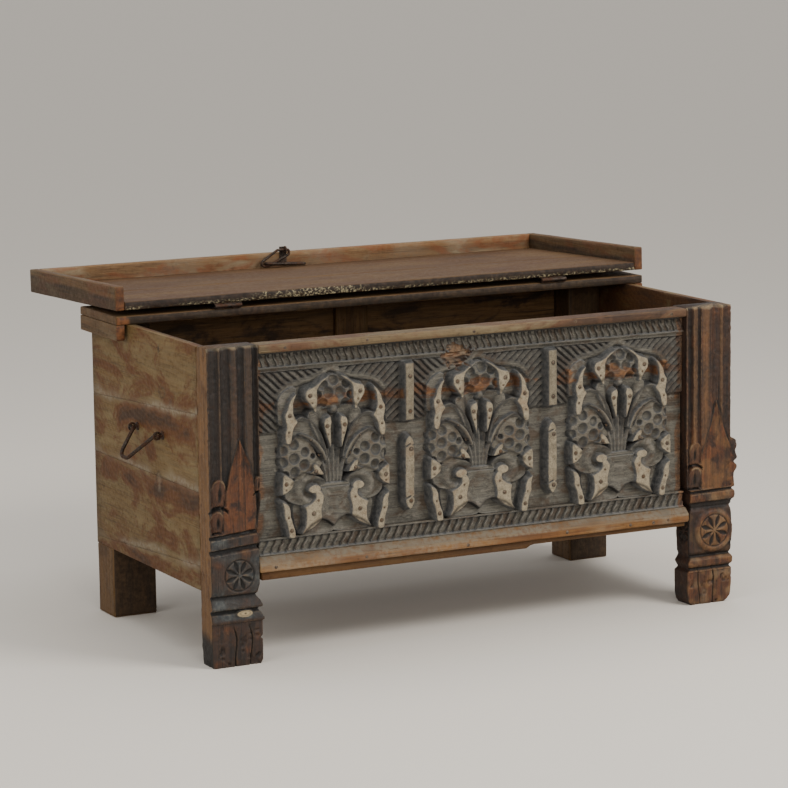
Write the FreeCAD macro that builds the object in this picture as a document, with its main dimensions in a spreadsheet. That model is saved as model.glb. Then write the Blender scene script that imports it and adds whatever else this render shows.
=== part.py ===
import FreeCAD, Part
import math
import os
import re

import Sketcher
from FreeCAD import Placement, Rotation, Vector

# Damchiya chest: a carved dowry chest on four legs, its two front posts carved, its front panel
# carved with three vases of flowers, and a hinged lid that folds back over a fixed rear strip.
# X runs along the front, the front faces -Y and Z is up. The lid is shown folded open.
# A depth below is measured back from the front faces of the posts, a height up from the floor.

os.makedirs("parts", exist_ok=True)
doc = FreeCAD.newDocument("damchiya_chest")
sheet = doc.addObject("Spreadsheet::Sheet", "Sizes")

# Driving sizes in millimetres, angles in degrees.
DRIVING = [
    ("chest_width", 1200, "over the two front posts"),
    ("chest_depth", 600, "post faces to the back boards"),
    ("chest_height", 635, "floor to the top of the posts and sides"),
    ("post_width", 110, "front post, seen from the front"),
    ("post_depth", 57, "front post, seen from the side"),
    ("leg_width", 97, "rear leg along the front"),
    ("leg_depth", 86, "rear leg along the side"),
    ("side_thickness", 18, "side boards"),
    ("back_thickness", 18, "back boards"),
    ("side_bottom", 148, "lower edge of the side and back boards"),
    ("side_bottom_rear", 146, "the same edge at the back"),
    ("side_joint_low_front", 198, "lowest side joint at the front post"),
    ("side_joint_low_rear", 162, "lowest side joint at the back"),
    ("side_joint_middle", 345, "middle side joint"),
    ("side_joint_high_front", 500, "upper side joint at the front post"),
    ("side_joint_high_rear", 467, "upper side joint at the back"),
    ("back_joint_low", 300, "lower joint of the back boards"),
    ("back_joint_high", 470, "upper joint of the back boards"),
    ("batten_width", 76, "batten inside the back"),
    ("batten_shift", 9, "batten centre, left of the middle"),
    ("batten_thickness", 18, "batten inside the back"),
    ("panel_ground", 28, "depth of the carved ground behind the post faces"),
    ("panel_thickness", 20, "wood left behind the carved ground"),
    ("flat_depth", 3, "depth of the flat tops of the carving"),
    ("top_rail_height", 17, "front top rail"),
    ("bottom_rail_low", 182, "under the front bottom rail"),
    ("bottom_rail_face", 16, "upright face of the bottom rail"),
    ("bottom_rail_height", 30, "bottom rail in all"),
    ("rail_reach", 6, "bottom rail past the panel ends"),
    ("border_depth", 14, "depth of the face of the rope borders"),
    ("lower_border_height", 34, "rope border over the bottom rail"),
    ("upper_border_height", 34, "rope border under the top rail"),
    ("bearer_height", 17, "floor bearers"),
    ("bearer_width", 22, "floor bearers along the sides and back"),
    ("front_bearer_setback", 8, "front bearer behind the post faces"),
    ("front_bearer_step", 7, "worn step in the underside of the front bearer"),
    ("front_bearer_step_place", 116, "where that step lies"),
    ("floor_thickness", 18, "floor boards"),
    ("strip_depth", 200, "fixed rear strip"),
    ("strip_thickness", 18, "fixed rear strip and lid boards"),
    ("top_overhang", 25, "strip and lid past each end"),
    ("apron_thickness", 19, "aprons under the ends of the strip"),
    ("rim_height", 50, "lid rims and aprons with the board"),
    ("rim_thickness", 20, "lid rims"),
    ("lid_depth", 490, "lid from the hinge line to its front edge"),
    ("lid_board_joint", 262, "joint of the lid boards behind the front rim"),
    ("lid_tilt", 1.8, "open lid below level, beyond half a turn"),
    ("seat_gap", 0.3, "running gap between seated pieces"),
    ("hinge_rise", 6, "hinge axis over the strip"),
    ("hinge_joint", 4, "joint between strip and closed lid"),
    ("hinge_length", 60, "butt hinges"),
    ("hinge_leaf", 28, "hinge leaf from its axis"),
    ("hinge_plate", 2, "hinge leaf thickness"),
    ("knuckle_radius", 4.5, "hinge barrel"),
    ("pin_radius", 2.4, "hinge pin"),
    ("pin_clearance", 0.06, "hinge pin in its barrel"),
    ("left_hinge_place", -376, "centre of the left hinge"),
    ("right_hinge_place", 398, "centre of the right hinge"),
    ("handle_height", 432, "pivots of the side handles"),
    ("handle_front", 232, "front pivot eye, depth"),
    ("handle_rear", 362, "rear pivot eye, depth"),
    ("handle_standoff", 12, "pivot line off the side board"),
    ("handle_rod", 4, "handle rod radius"),
    ("handle_drop", 68, "pivot line to the bottom of the bail"),
    ("handle_tail", 9, "rod past each eye"),
    ("handle_lower_run", 40, "straight bottom of the bail"),
    ("handle_lean", 33, "handle swung out from plumb"),
    ("eye_rod", 2.4, "rod radius of the handle and hasp eyes"),
    ("eye_clearance", 0.6, "play of a rod in its eye"),
    ("washer_radius", 9, "washer under each eye"),
    ("washer_thickness", 2, "washer under each eye"),
    ("hasp_place", -30, "hasp eye along the lid"),
    ("hasp_standoff", 13, "hasp plane off the rim"),
    ("hasp_plate_width", 17, "hasp plate"),
    ("hasp_plate_thickness", 1.5, "hasp plate"),
    ("hasp_plate_drop", 28, "hasp plate down the rim"),
    ("hasp_plate_rise", 12, "hasp plate beyond the rim edge"),
    ("link_rod", 3, "hasp link rod radius"),
    ("hasp_bar_height", 38, "hinge bar of the first link off the lid boards"),
    ("hasp_lift", 0.5, "first link off the lid boards"),
    ("link_length", 96, "second link, rod centres"),
    ("link_half_width", 7.5, "second link, rod centres"),
    ("link_lift", 10, "held end of the second link off the lid boards"),
    ("link_tip_lift", 4.2, "free end of the second link off the lid boards"),
    ("link_hold", 49, "held end of the second link, left of the eye"),
    ("bay_pitch", 329, "from vase to vase"),
    ("bay_shift", 4, "middle vase right of the centre"),
    ("motif_half_width", 122, "vase motif"),
    ("motif_headroom", 22, "plain ground over the vase motif"),
    ("pilaster_width", 18, "nailed upright blocks between the bays"),
    ("colonnette_width", 20, "lower upright between the bays"),
    ("colonnette_taper", 16, "pointed ends of the lower upright"),
    ("flute_radius", 9, "flutes of the front posts"),
    ("flute_sink", 1, "flute centres behind the post face"),
    ("leaf_setback", 2, "carved leaf behind the post face"),
    ("post_groove", 9, "depth of the turned grooves across the post face"),
    ("post_groove_half", 5, "half height of those grooves"),
    ("left_rosette_height", 182, "rosette of the left post"),
    ("right_rosette_height", 157, "rosette of the right post"),
    ("rosette_radius", 33, "rosette"),
    ("petal_depth", 3.5, "rosette petals"),
    ("rosette_ring", 3, "groove round the rosette"),
    ("petal_half_width", 6, "rosette petals"),
    ("overrun", 5, "every cut past the face that it opens"),
]

# Sizes that follow from the driving ones.
DERIVED = [
    ("half_width", "chest_width / 2"),
    ("hinge_depth", "chest_depth - strip_depth - hinge_joint / 2"),
    ("lid_reach", "lid_depth * cos(lid_tilt) + (hinge_rise + rim_height) * sin(lid_tilt)"),
    ("front_face", "-(hinge_depth + lid_reach) / 2"),
    ("back_face", "front_face + chest_depth"),
    ("post_inside", "half_width - post_width"),
    ("post_back", "front_face + post_depth"),
    ("leg_inside", "half_width - leg_width"),
    ("leg_front", "back_face - leg_depth"),
    ("side_inside", "half_width - side_thickness"),
    ("back_inside", "back_face - back_thickness"),
    ("ground_face", "front_face + panel_ground"),
    ("panel_back", "ground_face + panel_thickness"),
    ("flat_face", "front_face + flat_depth"),
    ("border_face", "front_face + border_depth"),
    ("bottom_rail_high", "bottom_rail_low + bottom_rail_height"),
    ("bottom_rail_bevel", "bottom_rail_low + bottom_rail_face"),
    ("top_rail_low", "chest_height - top_rail_height"),
    ("motif_low", "bottom_rail_high + lower_border_height"),
    ("motif_height", "top_rail_low - upper_border_height - motif_headroom - motif_low"),
    ("bearer_low", "bottom_rail_low - bearer_height"),
    ("front_bearer_face", "front_face + front_bearer_setback"),
    ("front_bearer_back", "post_back + bearer_width"),
    ("front_bearer_worn", "bearer_low + front_bearer_step"),
    ("floor_top", "bottom_rail_low + floor_thickness"),
    ("floor_board", "(back_inside - post_back) / 3"),
    ("strip_top", "chest_height + strip_thickness"),
    ("strip_face", "back_face - strip_depth"),
    ("top_end", "half_width + top_overhang"),
    ("apron_inside", "top_end - apron_thickness"),
    ("rim_low", "strip_top - rim_height"),
    ("rim_inside", "top_end - rim_thickness"),
    ("hinge_line", "front_face + hinge_depth"),
    ("hinge_height", "strip_top + hinge_rise"),
    ("lid_front", "hinge_line - lid_depth"),
    ("lid_rim_back", "lid_front + rim_thickness"),
    ("lid_rear", "hinge_line - hinge_joint / 2"),
    ("lid_board_split", "lid_rim_back + lid_board_joint"),
    ("lid_underside", "chest_height + seat_gap"),
    ("open_angle", "180 + lid_tilt"),
    ("open_cosine", "cos(open_angle)"),
    ("open_sine", "sin(open_angle)"),
    ("knuckle_length", "hinge_length / 3"),
    ("hasp_line", "lid_rim_back + hasp_standoff"),
    ("hasp_bar_line", "lid_underside - hasp_bar_height"),
]


def fill_sheet():
    """Write the driving sizes as plain numbers and the others as formulas, each with its alias."""
    row = 1
    for alias, number, note in DRIVING:
        sheet.set("A%d" % row, alias)
        sheet.set("B%d" % row, str(number))
        sheet.set("C%d" % row, note)
        sheet.setAlias("B%d" % row, alias)
        row += 1
    for alias, formula in DERIVED:
        sheet.set("A%d" % row, alias)
        sheet.setAlias("B%d" % row, alias)
        sheet.set("B%d" % row, "=" + formula)
        row += 1
    doc.recompute()


fill_sheet()
SIZE = {alias: float(sheet.get(alias)) for alias in [entry[0] for entry in DRIVING + DERIVED]}


def bound(formula):
    """The same formula with every size read from the sheet."""
    return re.sub(r"[a-z][a-z_]*", lambda word: "Sizes." + word.group(0), formula)


def board(label, low, high):
    """A rectangular board between two corners, each given by three formulas."""
    box = doc.addObject("Part::Box", label)
    for side, place, near, far in zip(("Length", "Width", "Height"), "xyz", low, high):
        box.setExpression(side, bound("(%s) - (%s)" % (far, near)))
        box.setExpression("Placement.Base." + place, bound(near))
    return box


def sketch_on(body, name, role, corners):
    """A closed sketch of straight lines on an origin plane, every corner bound to the sheet."""
    sketch = body.newObject("Sketcher::SketchObject", name)
    plane = [feature for feature in body.Origin.OriginFeatures if feature.Role == role][0]
    sketch.AttachmentSupport = (plane, [""])
    sketch.MapMode = "FlatFace"
    count = len(corners)
    spots = [Vector(number_of(across), number_of(up), 0) for across, up in corners]
    for index in range(count):
        sketch.addGeometry(Part.LineSegment(spots[index], spots[(index + 1) % count]), False)
    for index in range(count):
        sketch.addConstraint(Sketcher.Constraint("Coincident", index, 2, (index + 1) % count, 1))
    for index, corner in enumerate(corners):
        for kind, formula in zip(("DistanceX", "DistanceY"), corner):
            rule = Sketcher.Constraint(kind, -1, 1, index, 1, number_of(formula))
            place = sketch.addConstraint(rule)
            sketch.setExpression("Constraints[%d]" % place, bound(formula))
    return sketch


def number_of(formula):
    """The present value of a sum or difference of sizes."""
    total = 0.0
    for sign, word in re.findall(r"([+-]?)\s*([a-z_]+|0)", formula):
        amount = 0.0 if word == "0" else SIZE[word]
        total += -amount if sign == "-" else amount
    return total


def padded(label, role, corners, start, stop):
    """A body padded from a sketch between two formulas along the plane's own normal."""
    body = doc.addObject("PartDesign::Body", label)
    sketch = sketch_on(body, label + "_outline", role, corners)
    pad = body.newObject("PartDesign::Pad", label + "_pad")
    pad.Profile = sketch
    pad.setExpression("Length", bound("(%s) - (%s)" % (stop, start)))
    if role == "YZ_Plane":
        body.setExpression("Placement.Base.x", bound(start))
    if role == "XZ_Plane":
        pad.Reversed = True
        body.setExpression("Placement.Base.y", bound(start))
    if role == "XY_Plane":
        body.setExpression("Placement.Base.z", bound(start))
    return body


def shaped(label, shape):
    """A piece whose solid is worked out from the sheet."""
    piece = doc.addObject("Part::Feature", label)
    piece.Shape = shape
    return piece


def prism(points, reach):
    """A straight prism on a closed outline."""
    return Part.Face(Part.makePolygon(points + [points[0]])).extrude(reach)


def joined(solids):
    """One solid of many that meet."""
    whole = solids[0].multiFuse(solids[1:])
    return whole.removeSplitter()


# Front posts.

# Outline of each edge as (inset share of the post width, height share of the post), from the foot
# up. A negative inset stands proud of the post. The left post is plain on its outer side.
PLAIN_EDGE_SHARES = [(0, 0), (0, 1)]
LEFT_INNER_SHARES = [(.05, 0), (.01, .013), (.01, .139), (-.035, .142), (.08, .175), (0, .184),
                     (.125, .218), (.055, .255), (.055, .362), (.09, .371), (.045, .38),
                     (.045, .409), (.08, .414), (.045, .422), (0, .52), (0, 1)]
RIGHT_INNER_SHARES = [(.12, 0), (.04, .03), (.03, .112), (.11, .12), (.04, .142), (.12, .162),
                      (.09, .177), (.07, .24), (.09, .31), (.145, .329), (.09, .347),
                      (.09, .373), (.13, .384), (.055, .394), (0, .52), (0, 1)]
RIGHT_OUTER_SHARES = [(.12, 0), (-.005, .022), (-.036, .06), (-.036, .112), (-.01, .12),
                      (-.052, .132), (-.052, .151), (-.018, .162), (-.04, .177), (-.058, .24),
                      (-.05, .3), (-.015, .324), (-.105, .35), (-.095, .373), (-.06, .381),
                      (-.12, .389), (-.09, .42), (-.1, .436), (-.16, .448), (-.08, .472),
                      (-.165, .485), (-.11, .512), (-.15, .528), (-.14, .545), (0, .554), (0, 1)]
# Centres of the flutes and of the carved leaf across the post, from its outer edge.
LEFT_FLUTE_SHARES = [.11, .34, .63, .93]
RIGHT_FLUTE_SHARES = [.13, .36, .71, .92]
LEFT_LEAF_CENTRE_SHARE = .6
RIGHT_LEAF_CENTRE_SHARE = .27
LEFT_ROSETTE_CENTRE_SHARE = .545
RIGHT_ROSETTE_CENTRE_SHARE = .364
# Right half of the leaf as (share of the post width, share of the post height).
LEFT_LEAF_SHARES = [(.4, .422), (.4, .55), (.27, .59), (.2, .63), (.17, .665), (0, .712)]
RIGHT_LEAF_SHARES = [(.26, .394), (.26, .53), (.2, .575), (.13, .63), (.09, .65), (0, .677)]
LEFT_GROOVE_SHARES = [.142, .18, .224, .373, .414]
RIGHT_GROOVE_SHARES = [.12, .162, .33, .384]
PETALS = 8
# A petal along the rosette's radius: inner tip, widest place and outer tip.
PETAL_SHARES = (.1, .68, .97)


def edge_points(shares, edge, inward, depth):
    """One edge of a post outline, at a depth, from the foot up."""
    points = []
    for inset, height in shares:
        across = edge + inward * inset * SIZE["post_width"]
        points.append(Vector(across, depth, height * SIZE["chest_height"]))
    return points


def post_slab(outer, inner, outer_shares, inner_shares, near, far):
    """The post between two depths, its outline running up the outer edge and down the inner one."""
    inward = math.copysign(1, inner - outer)
    rising = edge_points(outer_shares, outer, inward, near)
    falling = edge_points(inner_shares, inner, -inward, near)
    falling.reverse()
    return prism(rising + falling, Vector(0, far - near, 0))


def rosette_cut(centre):
    """Petals and a ring groove sunk into a face that looks forwards."""
    inner_tip, widest, outer_tip = [share * SIZE["rosette_radius"] for share in PETAL_SHARES]
    half = SIZE["petal_half_width"]
    reach = Vector(0, SIZE["petal_depth"] + SIZE["overrun"], 0)
    lozenge = [Vector(inner_tip, 0, 0), Vector(widest, 0, half), Vector(outer_tip, 0, 0),
               Vector(widest, 0, -half)]
    cuts = []
    for index in range(PETALS):
        petal = prism([centre + point - Vector(0, SIZE["overrun"], 0) for point in lozenge], reach)
        petal.rotate(centre, Vector(0, 1, 0), index * 360 / PETALS)
        cuts.append(petal)
    outside = Part.makeCylinder(SIZE["rosette_radius"] + SIZE["rosette_ring"],
                                SIZE["petal_depth"] + SIZE["overrun"],
                                centre - Vector(0, SIZE["overrun"], 0), Vector(0, 1, 0))
    inside = Part.makeCylinder(SIZE["rosette_radius"], SIZE["petal_depth"] + SIZE["overrun"],
                               centre - Vector(0, SIZE["overrun"], 0), Vector(0, 1, 0))
    return cuts + [outside.cut(inside)]


def post(label, side, edges, flutes, leaf_centre, leaf, grooves, rosette_place):
    """A carved front post: side is -1 for the left one and 1 for the right one."""
    outer = side * SIZE["half_width"]
    inner = side * SIZE["post_inside"]
    front = SIZE["front_face"]
    height = SIZE["chest_height"]
    inward = -side
    outer_shares, inner_shares = edges
    # Behind the panel's ground the post keeps its full width above the floor bearer.
    back_shares = [entry for entry in inner_shares if entry[1] * height < SIZE["side_bottom"]]
    back_shares += [(0, SIZE["side_bottom"] / height), (0, 1)]
    front_slab = post_slab(outer, inner, outer_shares, inner_shares, front, SIZE["ground_face"])
    back_slab = post_slab(outer, inner, outer_shares, back_shares, SIZE["ground_face"],
                          SIZE["post_back"])
    body = front_slab.fuse(back_slab)
    leaf_line = outer + inward * leaf_centre * SIZE["post_width"]
    right_half = [Vector(leaf_line + share * SIZE["post_width"], front, up * height)
                  for share, up in leaf]
    left_half = [Vector(2 * leaf_line - point.x, front, point.z) for point in right_half[-2::-1]]
    leaf_solid = prism(right_half + left_half, Vector(0, SIZE["panel_ground"], 0))
    flute_low = leaf[0][1] * height
    cuts = []
    for share in flutes:
        foot = Vector(outer + inward * share * SIZE["post_width"], front + SIZE["flute_sink"],
                      flute_low)
        flute = Part.makeCylinder(SIZE["flute_radius"], height - flute_low + SIZE["overrun"], foot)
        cuts.append(flute.cut(leaf_solid))
    half = SIZE["post_groove_half"]
    run = SIZE["post_width"] * 2
    for share in grooves:
        low = Vector(outer - side * run, front - SIZE["overrun"], share * height - half)
        bottom = Vector(low.x, front + SIZE["post_groove"], share * height)
        high = Vector(low.x, low.y, share * height + half)
        cuts.append(prism([low, bottom, high], Vector(inward * run * 2, 0, 0)))
    rosette_share, rosette_height = rosette_place
    centre = Vector(outer + inward * rosette_share * SIZE["post_width"], front, rosette_height)
    cuts += rosette_cut(centre)
    trim = prism([right_half[0] + Vector(0, -SIZE["overrun"], 0)]
                 + [point + Vector(0, -SIZE["overrun"], 0) for point in right_half[1:] + left_half],
                 Vector(0, SIZE["leaf_setback"] + SIZE["overrun"], 0))
    return shaped(label, body.cut(cuts + [trim]))


post("front_left_post", -1, (PLAIN_EDGE_SHARES, LEFT_INNER_SHARES), LEFT_FLUTE_SHARES,
     LEFT_LEAF_CENTRE_SHARE, LEFT_LEAF_SHARES, LEFT_GROOVE_SHARES,
     (LEFT_ROSETTE_CENTRE_SHARE, SIZE["left_rosette_height"]))
post("front_right_post", 1, (RIGHT_OUTER_SHARES, RIGHT_INNER_SHARES), RIGHT_FLUTE_SHARES,
     RIGHT_LEAF_CENTRE_SHARE, RIGHT_LEAF_SHARES, RIGHT_GROOVE_SHARES,
     (RIGHT_ROSETTE_CENTRE_SHARE, SIZE["right_rosette_height"]))


# Rear legs, notched above the lower edge of the boards so that side and back boards cover them.

def rear_leg(label, side):
    """A rear leg: side is -1 for the left one and 1 for the right one."""
    outer = side * SIZE["half_width"]
    inner = side * SIZE["leg_inside"]
    low_x, high_x = sorted((outer, inner))
    whole = Part.makeBox(high_x - low_x, SIZE["leg_depth"], SIZE["chest_height"],
                         Vector(low_x, SIZE["leg_front"], 0))
    notch_x = outer if side < 0 else SIZE["side_inside"]
    rise = SIZE["chest_height"] - SIZE["side_bottom"] + SIZE["overrun"]
    side_notch = Part.makeBox(SIZE["side_thickness"], SIZE["leg_depth"], rise,
                              Vector(notch_x, SIZE["leg_front"], SIZE["side_bottom"]))
    back_notch = Part.makeBox(high_x - low_x, SIZE["back_thickness"], rise,
                              Vector(low_x, SIZE["back_inside"], SIZE["side_bottom"]))
    return shaped(label, whole.cut([side_notch, back_notch]))


rear_leg("rear_left_leg", -1)
rear_leg("rear_right_leg", 1)


# Side boards, with joints that fall towards the back, and plain back boards.

SIDE_BOARDS = [
    ("bottom_board", "side_bottom", "side_bottom", "side_joint_low_front", "side_joint_low_rear"),
    ("lower_board", "side_joint_low_front", "side_joint_low_rear", "side_joint_middle",
     "side_joint_middle"),
    ("middle_board", "side_joint_middle", "side_joint_middle", "side_joint_high_front",
     "side_joint_high_rear"),
    ("top_board", "side_joint_high_front", "side_joint_high_rear", "chest_height", "chest_height"),
]
for wall, start, stop in (("left_side", "-half_width", "-side_inside"),
                          ("right_side", "side_inside", "half_width")):
    for name, low_front, low_rear, high_front, high_rear in SIDE_BOARDS:
        padded("%s_%s" % (wall, name), "YZ_Plane",
               [("post_back", low_front), ("back_face", low_rear), ("back_face", high_rear),
                ("post_back", high_front)], start, stop)
for name, low, high in (("back_bottom_board", "side_bottom", "back_joint_low"),
                        ("back_middle_board", "back_joint_low", "back_joint_high"),
                        ("back_top_board", "back_joint_high", "chest_height")):
    board(name, ("-side_inside", "back_inside", low), ("side_inside", "back_face", high))
board("back_batten",
      ("-batten_shift - batten_width / 2", "back_inside - batten_thickness", "floor_top"),
      ("-batten_shift + batten_width / 2", "back_inside", "chest_height"))


# Floor on its bearers.

padded("front_floor_bearer", "XZ_Plane",
       [("-post_inside", "bearer_low"), ("front_bearer_step_place", "bearer_low"),
        ("front_bearer_step_place", "front_bearer_worn"), ("post_inside", "front_bearer_worn"),
        ("post_inside", "bottom_rail_low"), ("-post_inside", "bottom_rail_low")],
       "front_bearer_face", "front_bearer_back")
board("rear_floor_bearer", ("-leg_inside", "back_inside - bearer_width", "bearer_low"),
      ("leg_inside", "back_inside", "bottom_rail_low"))
board("left_floor_bearer", ("-side_inside", "post_back", "bearer_low"),
      ("-side_inside + bearer_width", "leg_front", "bottom_rail_low"))
board("right_floor_bearer", ("side_inside - bearer_width", "post_back", "bearer_low"),
      ("side_inside", "leg_front", "bottom_rail_low"))
board("floor_front_board", ("-side_inside", "post_back", "bottom_rail_low"),
      ("side_inside", "post_back + floor_board", "floor_top"))
board("floor_middle_board", ("-side_inside", "post_back + floor_board", "bottom_rail_low"),
      ("side_inside", "post_back + 2 * floor_board", "floor_top"))
padded("floor_rear_board", "XY_Plane",
       [("-side_inside", "back_inside - floor_board"), ("side_inside", "back_inside - floor_board"),
        ("side_inside", "leg_front"), ("leg_inside", "leg_front"), ("leg_inside", "back_inside"),
        ("-leg_inside", "back_inside"), ("-leg_inside", "leg_front"),
        ("-side_inside", "leg_front")],
       "bottom_rail_low", "floor_top")


# Front rails and rope borders.

board("front_top_rail", ("-post_inside", "front_face", "top_rail_low"),
      ("post_inside", "panel_back", "chest_height"))
padded("front_bottom_rail", "YZ_Plane",
       [("front_face", "bottom_rail_low"), ("ground_face", "bottom_rail_low"),
        ("ground_face", "bottom_rail_high"), ("border_face", "bottom_rail_high"),
        ("front_face", "bottom_rail_bevel")],
       "-post_inside - rail_reach", "post_inside + rail_reach")
board("front_lower_border", ("-post_inside", "border_face", "bottom_rail_high"),
      ("post_inside", "ground_face", "bottom_rail_high + lower_border_height"))
board("front_upper_border", ("-post_inside", "border_face", "top_rail_low - upper_border_height"),
      ("post_inside", "ground_face", "top_rail_low"))


# Carved front panel: three vases of flowers standing out of one ground.

# Outlines of the right half of a motif, as shares of its half width and of its height. Each has
# the share of the relief that it stands out by.
HALF_MOTIF_SHARES = [
    ("outer_leaf", 1, [(.69, .905), (.754, .858), (.758, .778), (.689, .726), (.754, .684),
                       (.795, .595), (.877, .595), (.893, .646), (.861, .699), (.898, .769),
                       (.848, .807), (.811, .858)]),
    ("inner_leaf", 1, [(.131, .991), (.221, .979), (.393, .935), (.5, .926), (.529, .902),
                       (.52, .867), (.402, .807), (.377, .782), (.344, .782), (.324, .851),
                       (.328, .918), (.221, .967)]),
    ("blade", 1, [(.098, .737), (.189, .728), (.213, .696), (.148, .601), (.107, .554),
                  (.102, .677), (.078, .709)]),
    ("fang", 1, [(.959, .399), (.967, .329), (.959, .278), (.885, .288), (.795, .316),
                 (.77, .354), (.861, .386)]),
    ("scroll_plate", 1, [(.361, .269), (.287, .269), (.238, .241), (.254, .206), (.291, .139),
                         (.27, .101), (.344, .076), (.598, .022), (.549, .063), (.537, .12),
                         (.557, .177), (.447, .201), (.365, .231)]),
    ("foot_strip", 1, [(.852, .209), (.951, .222), (.934, .133), (.877, .076), (.852, 0),
                       (.738, 0), (.754, .051), (.828, .136), (.82, .177)]),
    ("frond", .8, [(.098, .472), (.246, .551), (.393, .614), (.59, .652), (.779, .614),
                   (.82, .601), (.803, .661), (.697, .709), (.541, .728), (.393, .703),
                   (.295, .652), (.18, .566)]),
    ("grapes", .55, [(.246, .44), (.41, .503), (.574, .589), (.779, .589), (.885, .535),
                     (.902, .462), (.852, .399), (.689, .367), (.492, .367), (.361, .399)]),
    ("volute", .7, [(.197, .307), (.279, .354), (.426, .38), (.59, .361), (.787, .304),
                    (.869, .253), (.689, .209), (.59, .241), (.574, .291), (.492, .329),
                    (.328, .329)]),
]
# Forms that cross the middle line, as their right half from the top down.
WHOLE_MOTIF_SHARES = [
    ("berries", .6, [(0, .994), (.164, .972), (.295, .94), (.311, .867), (.328, .804),
                     (.164, .785), (0, .778)]),
    ("tulip", .5, [(0, .81), (.246, .79), (.316, .753), (.262, .661), (.16, .566), (.066, .472),
                   (0, .456)]),
    ("stems", .35, [(0, .503), (.049, .487), (.098, .424), (.18, .31), (0, .31)]),
    ("vase", .6, [(0, .31), (.279, .31), (.246, .266), (.205, .209), (.246, .139), (.221, .095),
                  (.066, .057), (0, .044)]),
]
KNOB_PLACE_SHARES = (.41, .291)
# Lower and upper end of the uprights between the bays, as shares of the motif's height.
PILASTER_SHARES = (.671, 1.025)
COLONNETTE_SHARES = (.095, .563)
KNOB_RADIUS_SHARE = .085
BAYS = (-1, 0, 1)


def relief(points, share):
    """A form that stands out of the ground by a share of the relief."""
    rise = share * (SIZE["panel_ground"] - SIZE["flat_depth"])
    return prism(points, Vector(0, -rise, 0))


def motif_point(centre, side, spot):
    """A place on the ground of a motif, from its shares."""
    return Vector(centre + side * spot[0] * SIZE["motif_half_width"], SIZE["ground_face"],
                  SIZE["motif_low"] + spot[1] * SIZE["motif_height"])


def motif(centre):
    """The raised forms of one bay."""
    forms = []
    for side in (-1, 1):
        for name, share, outline in HALF_MOTIF_SHARES:
            forms.append(relief([motif_point(centre, side, spot) for spot in outline], share))
        radius = KNOB_RADIUS_SHARE * SIZE["motif_half_width"]
        rise = SIZE["panel_ground"] - SIZE["flat_depth"]
        forms.append(Part.makeCylinder(radius, rise, motif_point(centre, side, KNOB_PLACE_SHARES),
                                       Vector(0, -1, 0)))
    for name, share, outline in WHOLE_MOTIF_SHARES:
        right = [motif_point(centre, 1, spot) for spot in outline]
        left = [motif_point(centre, -1, spot) for spot in outline[-2:0:-1]]
        forms.append(relief(right + left, share))
    return forms


def upright_levels(shares):
    """Lower and upper end of an upright."""
    return [SIZE["motif_low"] + share * SIZE["motif_height"] for share in shares]


def uprights(centre):
    """The nailed block and the pointed colonnette between two bays."""
    ground = SIZE["ground_face"]
    half = SIZE["pilaster_width"] / 2
    low, high = upright_levels(PILASTER_SHARES)
    block = [Vector(centre - half, ground, low), Vector(centre + half, ground, low),
             Vector(centre + half, ground, high), Vector(centre - half, ground, high)]
    half = SIZE["colonnette_width"] / 2
    low, high = upright_levels(COLONNETTE_SHARES)
    taper = SIZE["colonnette_taper"]
    column = [Vector(centre, ground, low), Vector(centre + half, ground, low + taper),
              Vector(centre + half, ground, high - taper), Vector(centre, ground, high),
              Vector(centre - half, ground, high - taper), Vector(centre - half, ground, low + taper)]
    return [relief(block, 1), relief(column, 1)]


def carved_panel():
    """The ground board with all that stands out of it."""
    ground = Part.makeBox(2 * SIZE["post_inside"], SIZE["panel_thickness"],
                          SIZE["top_rail_low"] - SIZE["bottom_rail_low"],
                          Vector(-SIZE["post_inside"], SIZE["ground_face"], SIZE["bottom_rail_low"]))
    forms = []
    for bay in BAYS:
        forms += motif(SIZE["bay_shift"] + bay * SIZE["bay_pitch"])
    for bay in BAYS[:-1]:
        forms += uprights(SIZE["bay_shift"] + bay * SIZE["bay_pitch"] + SIZE["bay_pitch"] / 2)
    return joined([ground] + forms)


shaped("carved_front_panel", carved_panel())


# Fixed rear strip with its aprons.

board("rear_top_strip", ("-top_end", "strip_face", "chest_height"),
      ("top_end", "back_face", "strip_top"))
board("strip_left_apron", ("-top_end", "strip_face", "rim_low"),
      ("-apron_inside", "back_face", "chest_height"))
board("strip_right_apron", ("apron_inside", "strip_face", "rim_low"),
      ("top_end", "back_face", "chest_height"))


# Lid and hasp, laid out closed and then turned open about the hinge line.

OPENING = Placement(Vector(0, 0, 0), Rotation(Vector(1, 0, 0), -SIZE["open_angle"]),
                    Vector(0, SIZE["hinge_line"], SIZE["hinge_height"]))


def turned_open(piece):
    """Turn a closed lid piece to the open position."""
    piece.Placement = OPENING.multiply(piece.Placement)
    return piece


def lid_board(label, low, high):
    """A board of the lid: a block laid out closed and turned open by its own placement."""
    block = doc.addObject("Part::Box", label)
    for name, near, far in zip(("Length", "Width", "Height"), low, high):
        block.setExpression(name, bound("(%s) - (%s)" % (far, near)))
    across = "(%s - hinge_line)" % low[1]
    up = "(%s - hinge_height)" % low[2]
    block.setExpression("Placement.Base.x", bound(low[0]))
    block.setExpression("Placement.Base.y", bound(
        "hinge_line + %s * open_cosine + %s * open_sine" % (across, up)))
    block.setExpression("Placement.Base.z", bound(
        "hinge_height - %s * open_sine + %s * open_cosine" % (across, up)))
    block.setExpression("Placement.Rotation.Axis.x", "1")
    block.setExpression("Placement.Rotation.Axis.y", "0")
    block.setExpression("Placement.Rotation.Axis.z", "0")
    block.setExpression("Placement.Rotation.Angle", "-1 deg * " + bound("open_angle"))
    return block


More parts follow.
